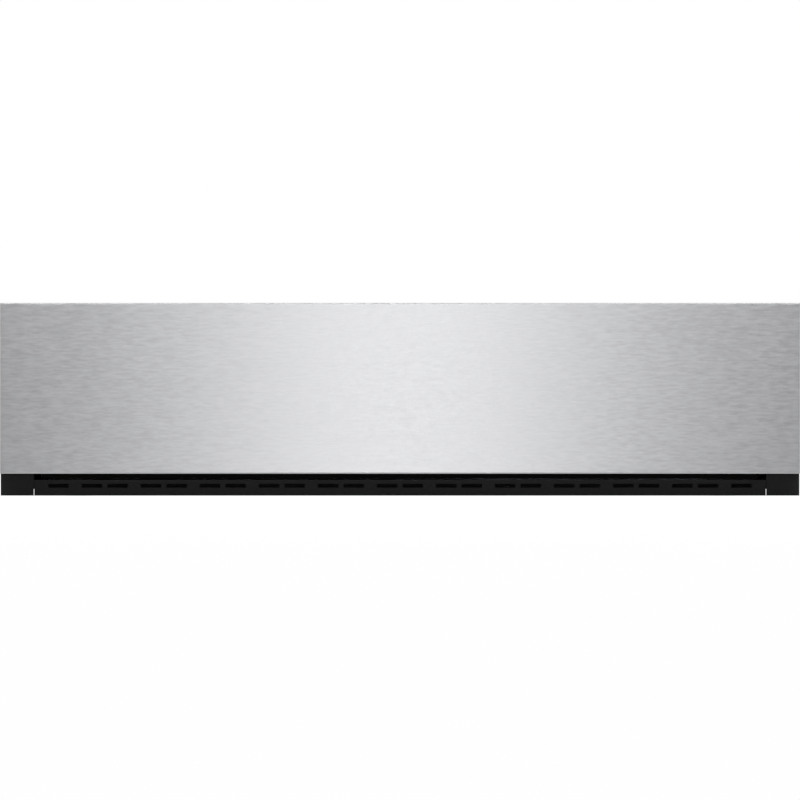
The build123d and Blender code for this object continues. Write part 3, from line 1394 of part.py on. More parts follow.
save("fan_rotor", fan_rotor)

# Screws on the deck: along its sides and on the hinge brackets
bracket_screw_place = ear_outer + bracket_foot / 2
with BuildPart() as drawer_screws:
    for screw_x in (-deck_half + deck_screw_inset, deck_half - deck_screw_inset):
        for screw_y in screw_row(tub_front_y, tub_rear_y):
            hex_head(screw_x, screw_y, deck_top_z)
    for arm_x in (-hinge_spread, hinge_spread):
        for screw_x in (arm_x - bracket_screw_place, arm_x + bracket_screw_place):
            hex_head(screw_x, hinge_y - bracket_screw_setback, bracket_top_z)
save("drawer_screws", drawer_screws)
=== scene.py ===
# %% [markdown]
# # A vacuum sealing drawer for a kitchen niche
# The real appliance is a steel drawer behind one brushed front. Inside it are a deep-drawn chamber with
# a glass lid, a heated sealing bar and a small vacuum pump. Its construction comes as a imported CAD
# frame. This script only gives it looks: finishes for every node, finer pieces where the solids are
# plain, a pale studio and a camera. Nothing here changes a size.

import json

import bmesh
import bpy
import numpy as np
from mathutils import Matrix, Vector


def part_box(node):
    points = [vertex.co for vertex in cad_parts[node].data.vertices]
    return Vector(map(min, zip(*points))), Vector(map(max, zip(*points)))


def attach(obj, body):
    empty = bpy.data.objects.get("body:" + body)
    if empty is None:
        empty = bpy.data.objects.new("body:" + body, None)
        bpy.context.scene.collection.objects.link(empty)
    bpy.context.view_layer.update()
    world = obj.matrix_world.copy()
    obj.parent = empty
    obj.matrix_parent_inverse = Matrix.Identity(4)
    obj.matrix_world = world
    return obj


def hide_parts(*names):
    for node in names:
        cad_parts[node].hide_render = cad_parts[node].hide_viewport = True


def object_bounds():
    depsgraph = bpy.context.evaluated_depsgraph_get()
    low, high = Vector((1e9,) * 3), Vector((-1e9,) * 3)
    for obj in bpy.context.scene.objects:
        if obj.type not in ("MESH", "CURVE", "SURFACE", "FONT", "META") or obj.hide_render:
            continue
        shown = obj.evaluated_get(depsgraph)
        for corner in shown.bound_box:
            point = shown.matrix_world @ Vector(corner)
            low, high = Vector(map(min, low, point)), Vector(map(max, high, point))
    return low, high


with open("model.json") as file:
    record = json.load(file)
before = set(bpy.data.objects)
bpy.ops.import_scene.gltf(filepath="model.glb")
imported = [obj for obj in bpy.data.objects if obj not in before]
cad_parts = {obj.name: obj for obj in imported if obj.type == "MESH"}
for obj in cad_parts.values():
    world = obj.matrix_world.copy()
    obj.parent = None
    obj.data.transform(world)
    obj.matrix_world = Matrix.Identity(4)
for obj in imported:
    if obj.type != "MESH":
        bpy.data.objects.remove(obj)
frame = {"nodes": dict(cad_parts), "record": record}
cad_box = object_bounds()
nodes = frame["nodes"]

# %% [markdown]
# Sizes of the new pieces are written in millimetres, as on a drawing, and turned into metres by one
# factor. Where a piece sits is never typed: it is read from the CAD node that it belongs to, so it
# follows the frame if a size changes there. A node such as a row of screws holds several loose solids.
# Their boxes are found by giving every corner of a triangle the lowest number among its three corners,
# again and again until nothing changes, which is quicker than walking from face to face.

# %% Measure the CAD nodes
mm = 0.001
merge_step = 0.01


def limits(node):
    """Lowest and highest corner of a CAD node as arrays, in millimetres."""
    low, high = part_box(node)
    return np.array(low) / mm, np.array(high) / mm


def middle_of(node):
    """Middle of a CAD node's box, in millimetres."""
    low, high = limits(node)
    return (low + high) / 2


def loose_solids(node):
    """Boxes (low, high) of the separate solids in a node, in millimetres. Equal points are merged by
    rounding, then each point takes the lowest number in its triangles until every solid carries one."""
    mesh = nodes[node].data
    points = np.empty(len(mesh.vertices) * 3)
    mesh.vertices.foreach_get("co", points)
    points = points.reshape(-1, 3) / mm
    corners = np.empty(len(mesh.loops), int)
    mesh.loops.foreach_get("vertex_index", corners)
    _, merged = np.unique(np.round(points / merge_step), axis=0, return_inverse=True)
    merged = merged.ravel()
    triangles = merged[corners].reshape(-1, 3)
    number = np.arange(merged.max() + 1)
    while True:
        lowest = number.copy()
        for corner in range(3):
            np.minimum.at(lowest, triangles[:, corner], number[triangles].min(axis=1))
        if (lowest == number).all():
            break
        number = lowest
    solid = number[merged]
    return [(points[solid == one].min(0), points[solid == one].max(0)) for one in np.unique(solid)]


print("cover screws found:", len(loose_solids("cover_screws")))

# %% [markdown]
# Every finish starts from one physically based shader with plain values on its sockets. What makes a
# real surface believable is small unevenness: a grain, a mottle, a faint orange peel. So one helper adds
# a noise on Object coordinates that moves the roughness a little and tilts the surface a little. The
# stretch of the noise tells the finishes apart: even for castings and paint, drawn out for brushing.

# %% Build a finish
def finish(name, colour, metallic, roughness, **sockets):
    """A shader with plain values. Extra sockets are given by name, with _ for each space."""
    made = bpy.data.materials.new(name)
    made.use_nodes = True
    shader = made.node_tree.nodes["Principled BSDF"]
    shader.inputs["Base Color"].default_value = (*colour, 1.0)
    shader.inputs["Metallic"].default_value = metallic
    shader.inputs["Roughness"].default_value = roughness
    for socket, value in sockets.items():
        shader.inputs[socket.replace("_", " ")].default_value = value
    return made


def add_node(tree, kind, inputs=None, **settings):
    """A shader node. Each input is given a plain value or another node's output, which is linked."""
    node = tree.nodes.new(kind)
    for key, value in settings.items():
        setattr(node, key, value)
    for socket, value in (inputs or {}).items():
        if isinstance(value, bpy.types.NodeSocket):
            tree.links.new(value, node.inputs[socket])
        else:
            node.inputs[socket].default_value = value
    return node


def uneven(made, pitch, roughness_swing, tilt, detail=2.0):
    """Noise whose grain is pitch millimetres long: one number, or one for each axis. Its value moves the
    roughness up and down by roughness_swing and, as a height, tilts the surface by the bump strength."""
    tree = made.node_tree
    shader = tree.nodes["Principled BSDF"]
    place = add_node(tree, "ShaderNodeTexCoord")
    stretch = add_node(tree, "ShaderNodeMapping", {
        "Vector": place.outputs["Object"],
        "Scale": [1.0 / (length * mm) for length in np.broadcast_to(pitch, 3)]})
    noise = add_node(tree, "ShaderNodeTexNoise", {
        "Vector": stretch.outputs["Vector"], "Scale": 1.0, "Detail": detail})
    if roughness_swing:
        level = shader.inputs["Roughness"].default_value
        spread = add_node(tree, "ShaderNodeMapRange", {
            "Value": noise.outputs["Fac"], "From Min": 0.3, "From Max": 0.7,
            "To Min": level - roughness_swing, "To Max": level + roughness_swing})
        tree.links.new(spread.outputs["Result"], shader.inputs["Roughness"])
    if tilt:
        bump = add_node(tree, "ShaderNodeBump", {
            "Height": noise.outputs["Fac"], "Strength": tilt, "Distance": 0.1 * mm})
        tree.links.new(bump.outputs["Normal"], shader.inputs["Normal"])
    return noise


def textured(name, colour, metallic, roughness, pitch, roughness_swing, tilt, **sockets):
    """A finish with its unevenness."""
    made = finish(name, colour, metallic, roughness, **sockets)
    uneven(made, pitch, roughness_swing, tilt)
    return made


# %% [markdown]
# The front is stainless steel sheet, ground with a belt along its length. Each scratch is a few
# millimetres long and far thinner than that, and it spreads light up and down but hardly sideways.
# So the highlight is stretched across the grain: the tangent turns about Z and the anisotropy
# is turned by a quarter. Fine streaks also change how much light comes back, which the noise paints
# into the colour by up to a tenth.

# %% Brushed steel of the front
def streaks_in_colour(made, noise, dark, light):
    """Blend the base colour between two values with the noise that already drives the roughness."""
    tree = made.node_tree
    spread = add_node(tree, "ShaderNodeMapRange", {
        "Value": noise.outputs["Fac"], "From Min": 0.25, "From Max": 0.75})
    blend = add_node(tree, "ShaderNodeMix", {
        "Factor": spread.outputs["Result"], "A": (*dark, 1.0), "B": (*light, 1.0)}, data_type="RGBA")
    tree.links.new(blend.outputs["Result"], tree.nodes["Principled BSDF"].inputs["Base Color"])


def brushed(name, colour, roughness, pitch, contrast):
    """Ground sheet metal. pitch is the scratch's length along each axis, and the longest is the grain.
    contrast is how far the streaks change the colour."""
    made = finish(name, colour, 1.0, roughness, Anisotropic=0.7, Anisotropic_Rotation=0.25)
    tree = made.node_tree
    grain = add_node(tree, "ShaderNodeTangent", direction_type="RADIAL", axis="Z")
    tree.links.new(grain.outputs["Tangent"], tree.nodes["Principled BSDF"].inputs["Tangent"])
    noise = uneven(made, pitch, 0.03, 0.05, detail=3.0)
    dark, light = ([part * share for part in colour] for share in (1 - contrast, 1 + contrast))
    streaks_in_colour(made, noise, dark, light)
    return made


front_steel = brushed("front_brushed_steel", (0.385, 0.387, 0.396), 0.375, (7.5, 1.4, 1.4), 0.10)

# %% [markdown]
# The other metals are plainer. The casing, the tub and the slides are zinc-coated sheet, whose crystals
# show as a soft mottle. The chamber is drawn from stainless steel and blasted to an even satin. Bars are
# anodised aluminium, the pump and its motor are die castings with a pebbly skin, and screws are bright.

# %% Other metals
zinc_sheet = finish("zinc_sheet", (0.50, 0.51, 0.52), 1.0, 0.38)
streaks_in_colour(zinc_sheet, uneven(zinc_sheet, 9, 0.04, 0.0, detail=4.0),
                  (0.46, 0.47, 0.485), (0.54, 0.55, 0.56))
chamber_satin = textured("chamber_satin_steel", (0.58, 0.582, 0.585), 1.0, 0.36, 2.5, 0.03, 0.05)
anodised = textured("satin_anodised_bar", (0.66, 0.665, 0.67), 1.0, 0.34, (12, 0.8, 0.8), 0.04, 0.04)
casting = textured("pump_casting", (0.42, 0.425, 0.43), 1.0, 0.55, 1.6, 0.06, 0.35)
bright_screws = textured("bright_screws", (0.56, 0.565, 0.57), 1.0, 0.24, 3, 0.05, 0.03)
ball_steel = textured("polished_bearing_balls", (0.62, 0.62, 0.63), 1.0, 0.08, 2, 0.02, 0.0)
brass = textured("brass_contacts", (0.62, 0.45, 0.20), 1.0, 0.3, 2, 0.05, 0.02)
copper = textured("enamelled_copper", (0.42, 0.16, 0.06), 1.0, 0.3, 5, 0.06, 0.0,
                  Coat_Weight=0.6, Coat_Roughness=0.15)

# %% [markdown]
# The strip under the panel is powder-coated steel: matt black with a fine orange peel. Its gloss is kept
# low on the shader's own socket, since a matt powder coat sends back hardly any mirror light. Plastics,
# rubbers and silicones differ from it by colour and by the size of their surface texture.

# %% Coatings, plastics and rubbers
powder_coat = textured("strip_powder_coat", (0.011, 0.011, 0.0115), 0.0, 0.62, 0.9, 0.05, 0.12,
                       Specular_IOR_Level=0.12)
# Painted shade: a near-black, nearly glossless copy of the coat for parts in deep shade behind the strip.
painted_shade_coat = textured("carrier_painted_shade_black", (0.002, 0.002, 0.002), 0.0, 0.8, 0.9, 0.05, 0.12,
                        Specular_IOR_Level=0.03)
black_plastic = textured("black_moulding", (0.018, 0.018, 0.019), 0.0, 0.45, 0.6, 0.05, 0.10,
                         Specular_IOR_Level=0.35)
grey_plastic = textured("grey_moulding", (0.16, 0.165, 0.17), 0.0, 0.45, 0.6, 0.05, 0.10)
pale_plastic = textured("pale_moulding", (0.55, 0.55, 0.53), 0.0, 0.4, 0.8, 0.05, 0.06)
foot_rubber = textured("foot_rubber", (0.02, 0.02, 0.02), 0.0, 0.8, 1.2, 0.06, 0.2, Specular_IOR_Level=0.2)
grey_silicone = textured("grey_silicone", (0.34, 0.345, 0.34), 0.0, 0.48, 2.0, 0.06, 0.05)
laminate = textured("green_laminate", (0.02, 0.14, 0.06), 0.0, 0.35, (1.5, 1.5, 0.8), 0.08, 0.05,
                    Coat_Weight=0.3)
capacitor_sleeve = textured("capacitor_sleeve", (0.02, 0.03, 0.06), 0.0, 0.25, 4, 0.04, 0.02)
glass_cloth = textured("glass_cloth_tape", (0.30, 0.17, 0.07), 0.0, 0.55, (0.7, 0.7, 5.0), 0.08, 0.3)
print_white = textured("printed_symbols", (0.62, 0.62, 0.62), 0.0, 0.5, 1, 0.04, 0.0)

# %% [markdown]
# Two glasses: the lid is a clear toughened plate with a faint green cast, and the control strip is the
# same glass printed black from behind. A clear plate is a transmitting shader, and the printed one needs
# no transmission at all: its colour is black and its gloss does the rest. The pump's sight glass is
# clear too, with the amber of the oil behind it.

# %% Glasses
lid_clear = textured("lid_clear_glass", (0.86, 0.93, 0.90), 0.0, 0.02, 60, 0.01, 0.0,
                     Transmission_Weight=1.0, IOR=1.5)
oil_glass = textured("oil_sight_glass", (0.80, 0.58, 0.22), 0.0, 0.05, 8, 0.02, 0.0,
                     Transmission_Weight=0.8, IOR=1.5)
control_black = textured("control_black_glass", (0.006, 0.006, 0.007), 0.0, 0.06, 40, 0.015, 0.0)

# %% [markdown]
# The record names a material slot for every node, so the CAD nodes are dressed in one loop. The carrier
# behind the front gets a near-black copy of the strip's coat instead of its slot's usual one: this is
# painted shade for the deep shade it lies in under the panel.

# %% Dress the CAD nodes
slot_finish = {
    "panel_steel": front_steel, "black_steel": powder_coat, "black_plastic": black_plastic,
    "zinc_steel": zinc_sheet, "chamber_steel": chamber_satin, "lid_glass": lid_clear,
    "black_glass": control_black, "silicone": grey_silicone, "black_rubber": foot_rubber,
    "satin_aluminium": anodised, "cast_aluminium": casting, "copper_winding": copper,
    "screw_steel": bright_screws, "circuit_board": laminate, "band_tape": glass_cloth,
}
node_slot = {part["node"]: part["material_slot"] for part in frame["record"]["subparts"]}
# Painted shade: the carrier takes the near-black copy of the coat, darker than its slot's finish.
node_finish = {"front_carrier": painted_shade_coat}
for node, slot in node_slot.items():
    nodes[node].data.materials.clear()
    nodes[node].data.materials.append(node_finish.get(node, slot_finish[slot]))
print("dressed", len(node_slot), "nodes in", len(set(node_slot.values())), "finishes")

# %% [markdown]
# The pieces that follow are surfaces worked out on a grid: rows and columns of points come from a formula
# as one numpy array, and four-cornered faces join neighbours. A shape is kept as a pair, its points and
# its faces, so that shapes can be copied and joined before they become one mesh. Doing this by arrays is
# quick, and every curve stays a formula that can be read. All of it is in millimetres until the mesh.

# %% Shapes from grids
along_x, along_y, along_z = np.eye(3)


def full_turn(steps):
    """Angles once round, without the last one that would repeat the first."""
    return np.linspace(0, 2 * np.pi, steps, endpoint=False)


def surface(points, closed_rows=False):
    """A shape (points, faces) from a grid of points (rows, columns, 3). The last column joins the first
    one, and so does the last row if the rows are closed."""
    rows, columns = points.shape[:2]
    i = np.arange(rows if closed_rows else rows - 1)[:, None]
    j = np.arange(columns)[None, :]
    here = i * columns
    below = (i + 1) % rows * columns
    beside = (j + 1) % columns
    faces = np.stack([here + j, here + beside, below + beside, below + j], -1)
    return points.reshape(-1, 3), faces.reshape(-1, 4)


def capped(points):
    """A grid with one more row at each end. All points of that row lie in the middle of the end row, and
    they merge into one point that closes the shape."""
    ends = points[[0, -1]].mean(axis=1, keepdims=True) * np.ones_like(points[:1])
    return np.concatenate([ends[:1], points, ends[1:]])


def at_levels(loops, level):
    """A grid from loops of points (rows, columns, 2), each row lifted to its own level."""
    return np.dstack([loops, np.broadcast_to(level[:, None], loops.shape[:2])])


def joined(*shapes):
    """Several shapes as one: the faces of each count on from the points before it."""
    starts = np.cumsum([0] + [len(points) for points, _ in shapes[:-1]])
    return (np.concatenate([points for points, _ in shapes]),
            np.concatenate([faces + start for (_, faces), start in zip(shapes, starts)]))


def copies(shape, places):
    """The same shape moved by each of several steps (x, y, z)."""
    points, faces = shape
    places = np.asarray(places, float)
    moved = points[None] + places[:, None]
    numbers = faces[None] + np.arange(len(places))[:, None, None] * len(points)
    return moved.reshape(-1, 3), numbers.reshape(-1, 4)


def in_a_row(count, step):
    """Places for copies: the first at zero and each one step (x, y, z) further."""
    return np.arange(count)[:, None] * step


def both_sides(shape):
    """A shape with its mirror image across the drawer's middle plane, x turned to -x."""
    points, faces = shape
    return joined(shape, (points * (-1, 1, 1), faces[:, ::-1]))


# %% [markdown]
# A shape becomes a piece of the appliance in one place: it gets its finish and the body that it moves
# with. A piece that stands for a plain CAD node also takes that node out of sight.

# %% Shapes into pieces
def piece(name, shape, look, body, replaced=None, turn_out=True):
    """Puts a shape into a mesh on the given body. Points that coincide are merged, so poles and seams are
    closed, faces are turned outwards, and edges sharper than 35 degrees stay sharp."""
    points, faces = shape
    mesh = bpy.data.meshes.new(name)
    mesh.from_pydata((points * mm).tolist(), [], faces.tolist())
    work = bmesh.new()
    work.from_mesh(mesh)
    bmesh.ops.remove_doubles(work, verts=work.verts, dist=0.002 * mm)
    if turn_out:
        bmesh.ops.recalc_face_normals(work, faces=work.faces)
    work.to_mesh(mesh)
    work.free()
    mesh.shade_smooth()
    mesh.set_sharp_from_angle(angle=np.radians(35.0))
    mesh.materials.append(look)
    made = bpy.data.objects.new(name, mesh)
    bpy.context.scene.collection.objects.link(made)
    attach(made, body)
    if replaced:
        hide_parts(replaced)
    print(name, len(mesh.polygons), "faces")


# %% [markdown]
# Three ways to make a surface cover almost everything in such an appliance. Turned pieces are a profile
# swung about an axis. Pressed or moulded blocks are a rounded rectangle that shrinks by a quarter circle
# towards both ends. Seals and rims are a profile carried round a rounded rectangle: moved outwards by
# some amount, such a loop is again a rounded rectangle with a larger corner, so no path is needed.

# %% Turned, moulded and looped shapes
edge_steps = 4


def lathe(profile, start, axis, columns=40, ring=False):
    """Profile points (along, radius) swung about an axis: start + along * axis + radius * (cos t * side
    + sin t * rise), with t once round. A profile that starts and ends at radius 0 is closed, and a ring
    joins its last point to its first one."""
    axis = np.asarray(axis, float)
    side = np.cross(axis, along_z if abs(axis[2]) < 0.9 else along_y)
    side /= np.linalg.norm(side)
    rise = np.cross(side, axis)
    along, radius = np.asarray(profile, float).T
    t = full_turn(columns)
    circle = np.cos(t)[:, None] * side + np.sin(t)[:, None] * rise
    points = np.asarray(start, float) + along[:, None, None] * axis + radius[:, None, None] * circle
    return surface(points, closed_rows=ring)


def tube(first, last, inner, outer, start, axis, columns=40):
    """A straight tube from first to last along the axis, or a solid rod if its inner radius is 0."""
    profile = [(first, inner), (first, outer), (last, outer), (last, inner)]
    return lathe(profile, start, axis, columns, ring=inner > 0)


def rounded_loop(half_x, half_y, radius, steps=6):
    """Points (x, y) round a rectangle with round corners. Each corner is its centre plus radius * (cos t,
    sin t) over a quarter turn. The sizes may be arrays, one value for each level."""
    t = (np.arange(4)[:, None] * np.pi / 2 + np.linspace(0, np.pi / 2, steps)).ravel()
    sign_x = np.repeat((1, -1, -1, 1), steps)
    sign_y = np.repeat((1, 1, -1, -1), steps)
    half_x, half_y, radius = (np.asarray(size, float)[..., None] for size in (half_x, half_y, radius))
    x = sign_x * (half_x - radius) + radius * np.cos(t)
    y = sign_y * (half_y - radius) + radius * np.sin(t)
    return np.stack([x, y], -1)


def soft_block(low, high, edge, corner=None, upright="z"):
    """A block with rounded edges between two opposite corners. Level by level it is a rounded loop that is
    inset by edge * (1 - sin t) at the height edge * (1 - cos t), at both ends of the upright axis. Without
    a corner radius, the corners are as round as the edges."""
    order = {"x": (1, 2, 0), "y": (2, 0, 1), "z": (0, 1, 2)}[upright]
    low = np.asarray(low, float)[list(order)]
    high = np.asarray(high, float)[list(order)]
    half = (high - low) / 2
    corner = edge * 1.001 if corner is None else corner
    t = np.linspace(0, np.pi / 2, edge_steps)
    inset = np.concatenate([edge * (1 - np.sin(t)), edge * (1 - np.sin(t[::-1]))])
    level = np.concatenate([low[2] + edge * (1 - np.cos(t)), high[2] - edge * (1 - np.cos(t[::-1]))])
    loops = rounded_loop(half[0] - inset, half[1] - inset, corner - inset) + (low + half)[:2]
    return surface(capped(at_levels(loops, level))[..., np.argsort(order)])


def loop_of(profile, centre, half_x, half_y, radius):
    """A closed profile (outwards, upwards) carried round a rounded rectangle that lies level: the loop
    grows by the outward value and rises by the upward one."""
    outwards, upwards = np.asarray(profile, float).T
    loops = rounded_loop(half_x + outwards, half_y + outwards, radius + outwards, 12)
    return surface(at_levels(loops, upwards) + np.asarray(centre, float), closed_rows=True)


def arc(centre, radius, first, last, steps=8):
    """Profile points on a circle, from the angle first to the angle last in degrees."""
    t = np.radians(np.linspace(first, last, steps))
    return np.stack([centre[0] + radius * np.cos(t), centre[1] + radius * np.sin(t)], -1)


# %% [markdown]
# Hexagon screws with a pressed-on washer hold the cover and the deck. The head is a hexagon cut by a
# cone, which is what gives real heads their curved edges: at each angle the radius is the smaller one of
# the hexagon's and the cone's. A shallow dimple in the top comes from the tool that forges them. Their
# places are those of the CAD heads, which they replace.

# %% Hexagon screws
hexagon_steps = 48


def hexagon(t, across):
    """Radius of a hexagon at the angle t: half its width across, divided by the cosine of the angle to the
    middle of the nearest side."""
    sixth = np.pi / 3
    return across / 2 / np.cos((t + sixth / 2) % sixth - sixth / 2)


def stacked(level, radius):
    """A shape about the z axis from heights (rows, 1) and radii (rows, columns)."""
    t = full_turn(radius.shape[1])
    return surface(np.stack([radius * np.cos(t), radius * np.sin(t), level + 0 * t], -1))


def hex_screw(across, height, washer_radius, washer_height):
    """A screw head that stands on the level z = 0. Its rows are (height, cone radius, whether the hexagon
    counts): washer first, then the hexagon under a cone, then the dimple. A cone as wide as the head
    leaves the hexagon uncut."""
    rows = np.array([
        (0.0, 0.0, 0), (0.0, washer_radius, 0), (washer_height * 0.6, washer_radius, 0),
        (washer_height, washer_radius - 0.4, 0), (washer_height, across, 1), (height - 0.45, across, 1),
        (height - 0.2, across * 0.53, 1), (height, across * 0.46, 1), (height, across * 0.30, 0),
        (height - 0.35, across * 0.25, 0), (height - 0.4, 0.0, 0)])
    level, cone, is_hexagon = rows.T[..., None]
    sides = hexagon(full_turn(hexagon_steps), across)
    return stacked(level, np.where(is_hexagon > 0, np.minimum(sides, cone), cone))


for node, body in (("cover_screws", "casing"), ("drawer_screws", "drawer")):
    heads = loose_solids(node)
    feet = [(*(low + high)[:2] / 2, low[2]) for low, high in heads]
    *head_sides, head_height = heads[0][1] - heads[0][0]
    head_across = min(head_sides)
    screw = hex_screw(head_across, head_height, head_across * 0.64, 0.6)
    piece(node + "_forged", copies(screw, feet), bright_screws, body, node)

# %% [markdown]
# Behind the black strip all is dark. Two dark pieces paint that shade in: a near-black edge on the side
# walls of the casing fills the view through the fine gaps beside the grille, and a low black strip across
# the casing floor behind the slots hides the lit edge of that floor. Both are painted shade, dark pieces put
# where there is only shade. Both are long soft blocks, placed by the casing and the grille.

# %% Painted shade behind the strip: black edges and a black strip
shell_low, shell_high = limits("casing_shell")
grille_end = limits("vent_grille")[1][0]
casing_sheet = 1.0
guard_overlap = 0.3
guard_front = shell_low[1] + 0.2
guard_rear = shell_low[1] + 5.2
# Painted shade: near-black edges on the casing's side walls darken the gaps beside the grille.
painted_shade_guard = soft_block((grille_end - guard_overlap, guard_front, shell_low[2] - 0.8),
                        (shell_high[0] - casing_sheet + guard_overlap, guard_rear, shell_high[2] - 2.0), 0.3)
piece("casing_edge_guards", both_sides(painted_shade_guard), painted_shade_coat, "casing")

strip_half = grille_end - 6.0
strip_front = shell_low[1] + 14.6
strip_floor = shell_low[2] + casing_sheet
# Painted shade: a low black strip on the casing floor darkens the view through the slots.
shade_strip = soft_block((-strip_half, strip_front, strip_floor),
                       (strip_half, strip_front + 4.0, strip_floor + 2.6), 0.8, 1.5)
piece("shade_strip", shade_strip, foot_rubber, "casing")

# %% [markdown]
# The casing stands on four rubber feet. A foot is a turned piece: a broad sole with a rounded rim, a
# waist, and a collar against the floor of the casing. It takes the place of the plain cone in CAD.

# %% Casing feet
def inset_corners(low, high, inset):
    """Pairs (first, second) at the four corners of a rectangle, moved inwards in both directions."""
    return [(first, second) for first in (low[0] + inset, high[0] - inset)
            for second in (low[1] + inset, high[1] - inset)]


feet_low, feet_high = limits("casing_feet")
foot_radius = 12.5
foot_height = feet_high[2] - feet_low[2]
sole_rim = (1.2, foot_radius - 1.7)
foot_profile = np.concatenate([
    [(0.0, 0.0), (0.0, 4.0), (0.8, 5.0), (0.8, 6.5), (0.0, 7.5)],
    arc(sole_rim, 1.2, 180, 90, 5), arc(sole_rim, 1.2, 90, 0, 5),
    [(2.9, foot_radius - 2.2), (foot_height - 1.4, foot_radius - 1.6),
     (foot_height - 0.9, foot_radius - 0.5), (foot_height, foot_radius), (foot_height, 0.0)]])
foot_places = [(x, y, feet_low[2]) for x, y in inset_corners(feet_low, feet_high, foot_radius)]
piece("rubber_feet", copies(lathe(foot_profile, (0, 0, 0), along_z), foot_places), foot_rubber, "casing",
      "casing_feet")

# %% [markdown]
# The slides roll on steel balls that sit in the pockets of their plastic cages. Each ball is a half circle
# swung about an axis, with few faces because there are so many. The rows follow from the cages: one
# along the top and one along the bottom, at the pitch of the pockets. The balls ride with the cage that
# holds them, at a quarter and three quarters of the drawer's travel.

# %% Bearing balls
ball_pitch = 30.0
pocket_play = 0.2
cage_sheet = 0.6


def ball_places(cage, ball):
    """Middles of the balls in a left cage: inside its open edge in x, in the middle of its sheet in z, and
    evenly spaced along y about the cage's own middle."""
    low, high = limits(cage)
    count = int((high[1] - low[1] - ball) // ball_pitch) + 1
    y = (low[1] + high[1]) / 2 + ball_pitch * (np.arange(count) - (count - 1) / 2)
    x = high[0] - pocket_play - ball / 2
    return [(x, along, z) for z in (low[2] + cage_sheet / 2, high[2] - cage_sheet / 2) for along in y]


for cage, ball, body in (("cage_outer_left", 4.0, "outer_cages"), ("cage_inner_left", 3.2, "inner_cages")):
    one_ball = lathe(arc((0, 0), ball / 2, 180, 0, 8), (0, 0, 0), along_y, columns=12)
    rows = both_sides(copies(one_ball, ball_places(cage, ball)))
    piece(body + "_balls", rows, ball_steel, body)

# %% [markdown]
# The lid seals on a silicone ring with two soft lips: under vacuum the glass presses both flat. Seen in
# section its underside is a wave, lowest at the two lips and hollow between them. The wave is the square
# of one minus the squared distance from the middle, measured in lip distances, so it touches zero at the
# lips and stands one millimetre high between them. The section is carried round the chamber's mouth.

# %% The lid's seal
seal_low, seal_high = limits("lid_seal")
seal_half = 4.0
seal_corner = 47.0
lip_place = 2.2
edge_rise = 2.4
seal_depth = seal_high[2] - seal_low[2]
from_middle = np.linspace(-seal_half, seal_half, 25)
lips = np.minimum((1 - (from_middle / lip_place) ** 2) ** 2, edge_rise)
seal_section = np.concatenate([np.stack([from_middle, lips], -1),
                               [(seal_half, seal_depth), (-seal_half, seal_depth)]])
seal_ring = loop_of(seal_section, (0.0, middle_of("lid_seal")[1], seal_low[2]), seal_high[0] - seal_half,
                    (seal_high[1] - seal_low[1]) / 2 - seal_half, seal_corner)
piece("lid_seal_lips", seal_ring, grey_silicone, "lid", "lid_seal")

# %% [markdown]
# The sealing bar is a plain extrusion in CAD. On the real one the two heating wires show as fine ridges
# under the glass-cloth band, and each end is closed by a small plastic cap held by one screw. The caps
# stay below the band, because the silicone pad of the lid comes down on it.

# %% Ends and wires of the sealing bar
bar_low, bar_high = limits("sealing_bar")
band_low, band_high = limits("sealing_band")
bar_y, bar_z = middle_of("sealing_bar")[1:]
wire_inset = 3.0
wire_half = 0.35
wire_spread = 1.1
ridge = soft_block((band_low[0] + wire_inset, bar_y - wire_half, band_high[2] - 0.1),
                   (band_high[0] - wire_inset, bar_y + wire_half, band_high[2] + 0.12), 0.1)
piece("heating_wire_ridges", copies(ridge, [(0, -wire_spread, 0), (0, wire_spread, 0)]), glass_cloth,
      "sealing_unit")

cap_end = bar_high[0] + 2.6
cap_inset = 0.3
cap = soft_block((bar_high[0], bar_low[1] + cap_inset, bar_low[2] + cap_inset),
                 (cap_end, bar_high[1] - cap_inset, bar_high[2] - 0.6), 0.6, 2.0, "x")
piece("sealing_bar_caps", both_sides(cap), black_plastic, "sealing_unit")


def dome(radius, height, rim, last, steps):
    """Profile of a domed head: it rises from the rim's share of the height to all of it, on an ellipse
    that is followed up to the angle last."""
    t = np.linspace(0, last, steps)
    return np.stack([rim * height + (1 - rim) * height * np.sin(t) / np.sin(last), radius * np.cos(t)], -1)


def pan_head(radius, height, start, axis, socket=0.45):
    """A domed screw head with a round socket: a flat rim, a quarter ellipse up to the top, and a sunk
    middle whose radius is a share of the head's."""
    sunk = [(0.97 * height, radius * socket), (0.45 * height, radius * socket * 0.9), (0.4 * height, 0.0)]
    profile = [[(0.0, 0.0), (0.0, radius)], dome(radius, height, 0.25, np.pi / 2 * 0.62, 6), sunk]
    return lathe(np.concatenate(profile), start, axis, columns=24)


cap_screw = pan_head(2.6, 1.5, (cap_end, bar_y, bar_z), along_x)
piece("sealing_bar_cap_screws", both_sides(cap_screw), bright_screws, "sealing_unit")

# %% [markdown]
# The lid hangs on two pins. Each pin is riveted over at its inner end, and the friction unit that holds
# the lid open has a plastic cap on its outer end. The clip that grips the glass is riveted through. All of
# these are turned shapes, and their places come from the pins, the brackets and the rail.

# %% Rivets and caps of the lid's hinge
hinge_y, hinge_z = middle_of("hinge_pins")[1:]
pin_end = min(low[0] for low, high in loose_solids("hinge_pins") if low[0] > 0)
bracket_end = limits("hinge_brackets")[1][0]
rail_low, rail_high = limits("hinge_rail")
rail_rivets = (-175, -100, -35, 35, 100, 175)


def rivet(radius, height, start, axis):
    """A rivet's domed head: a short rim, then a quarter ellipse that ends on the axis."""
    return lathe(np.concatenate([[(0.0, 0.0), (0.0, radius)], dome(radius, height, 0.3, np.pi / 2, 7)]),
                 start, axis, columns=28)


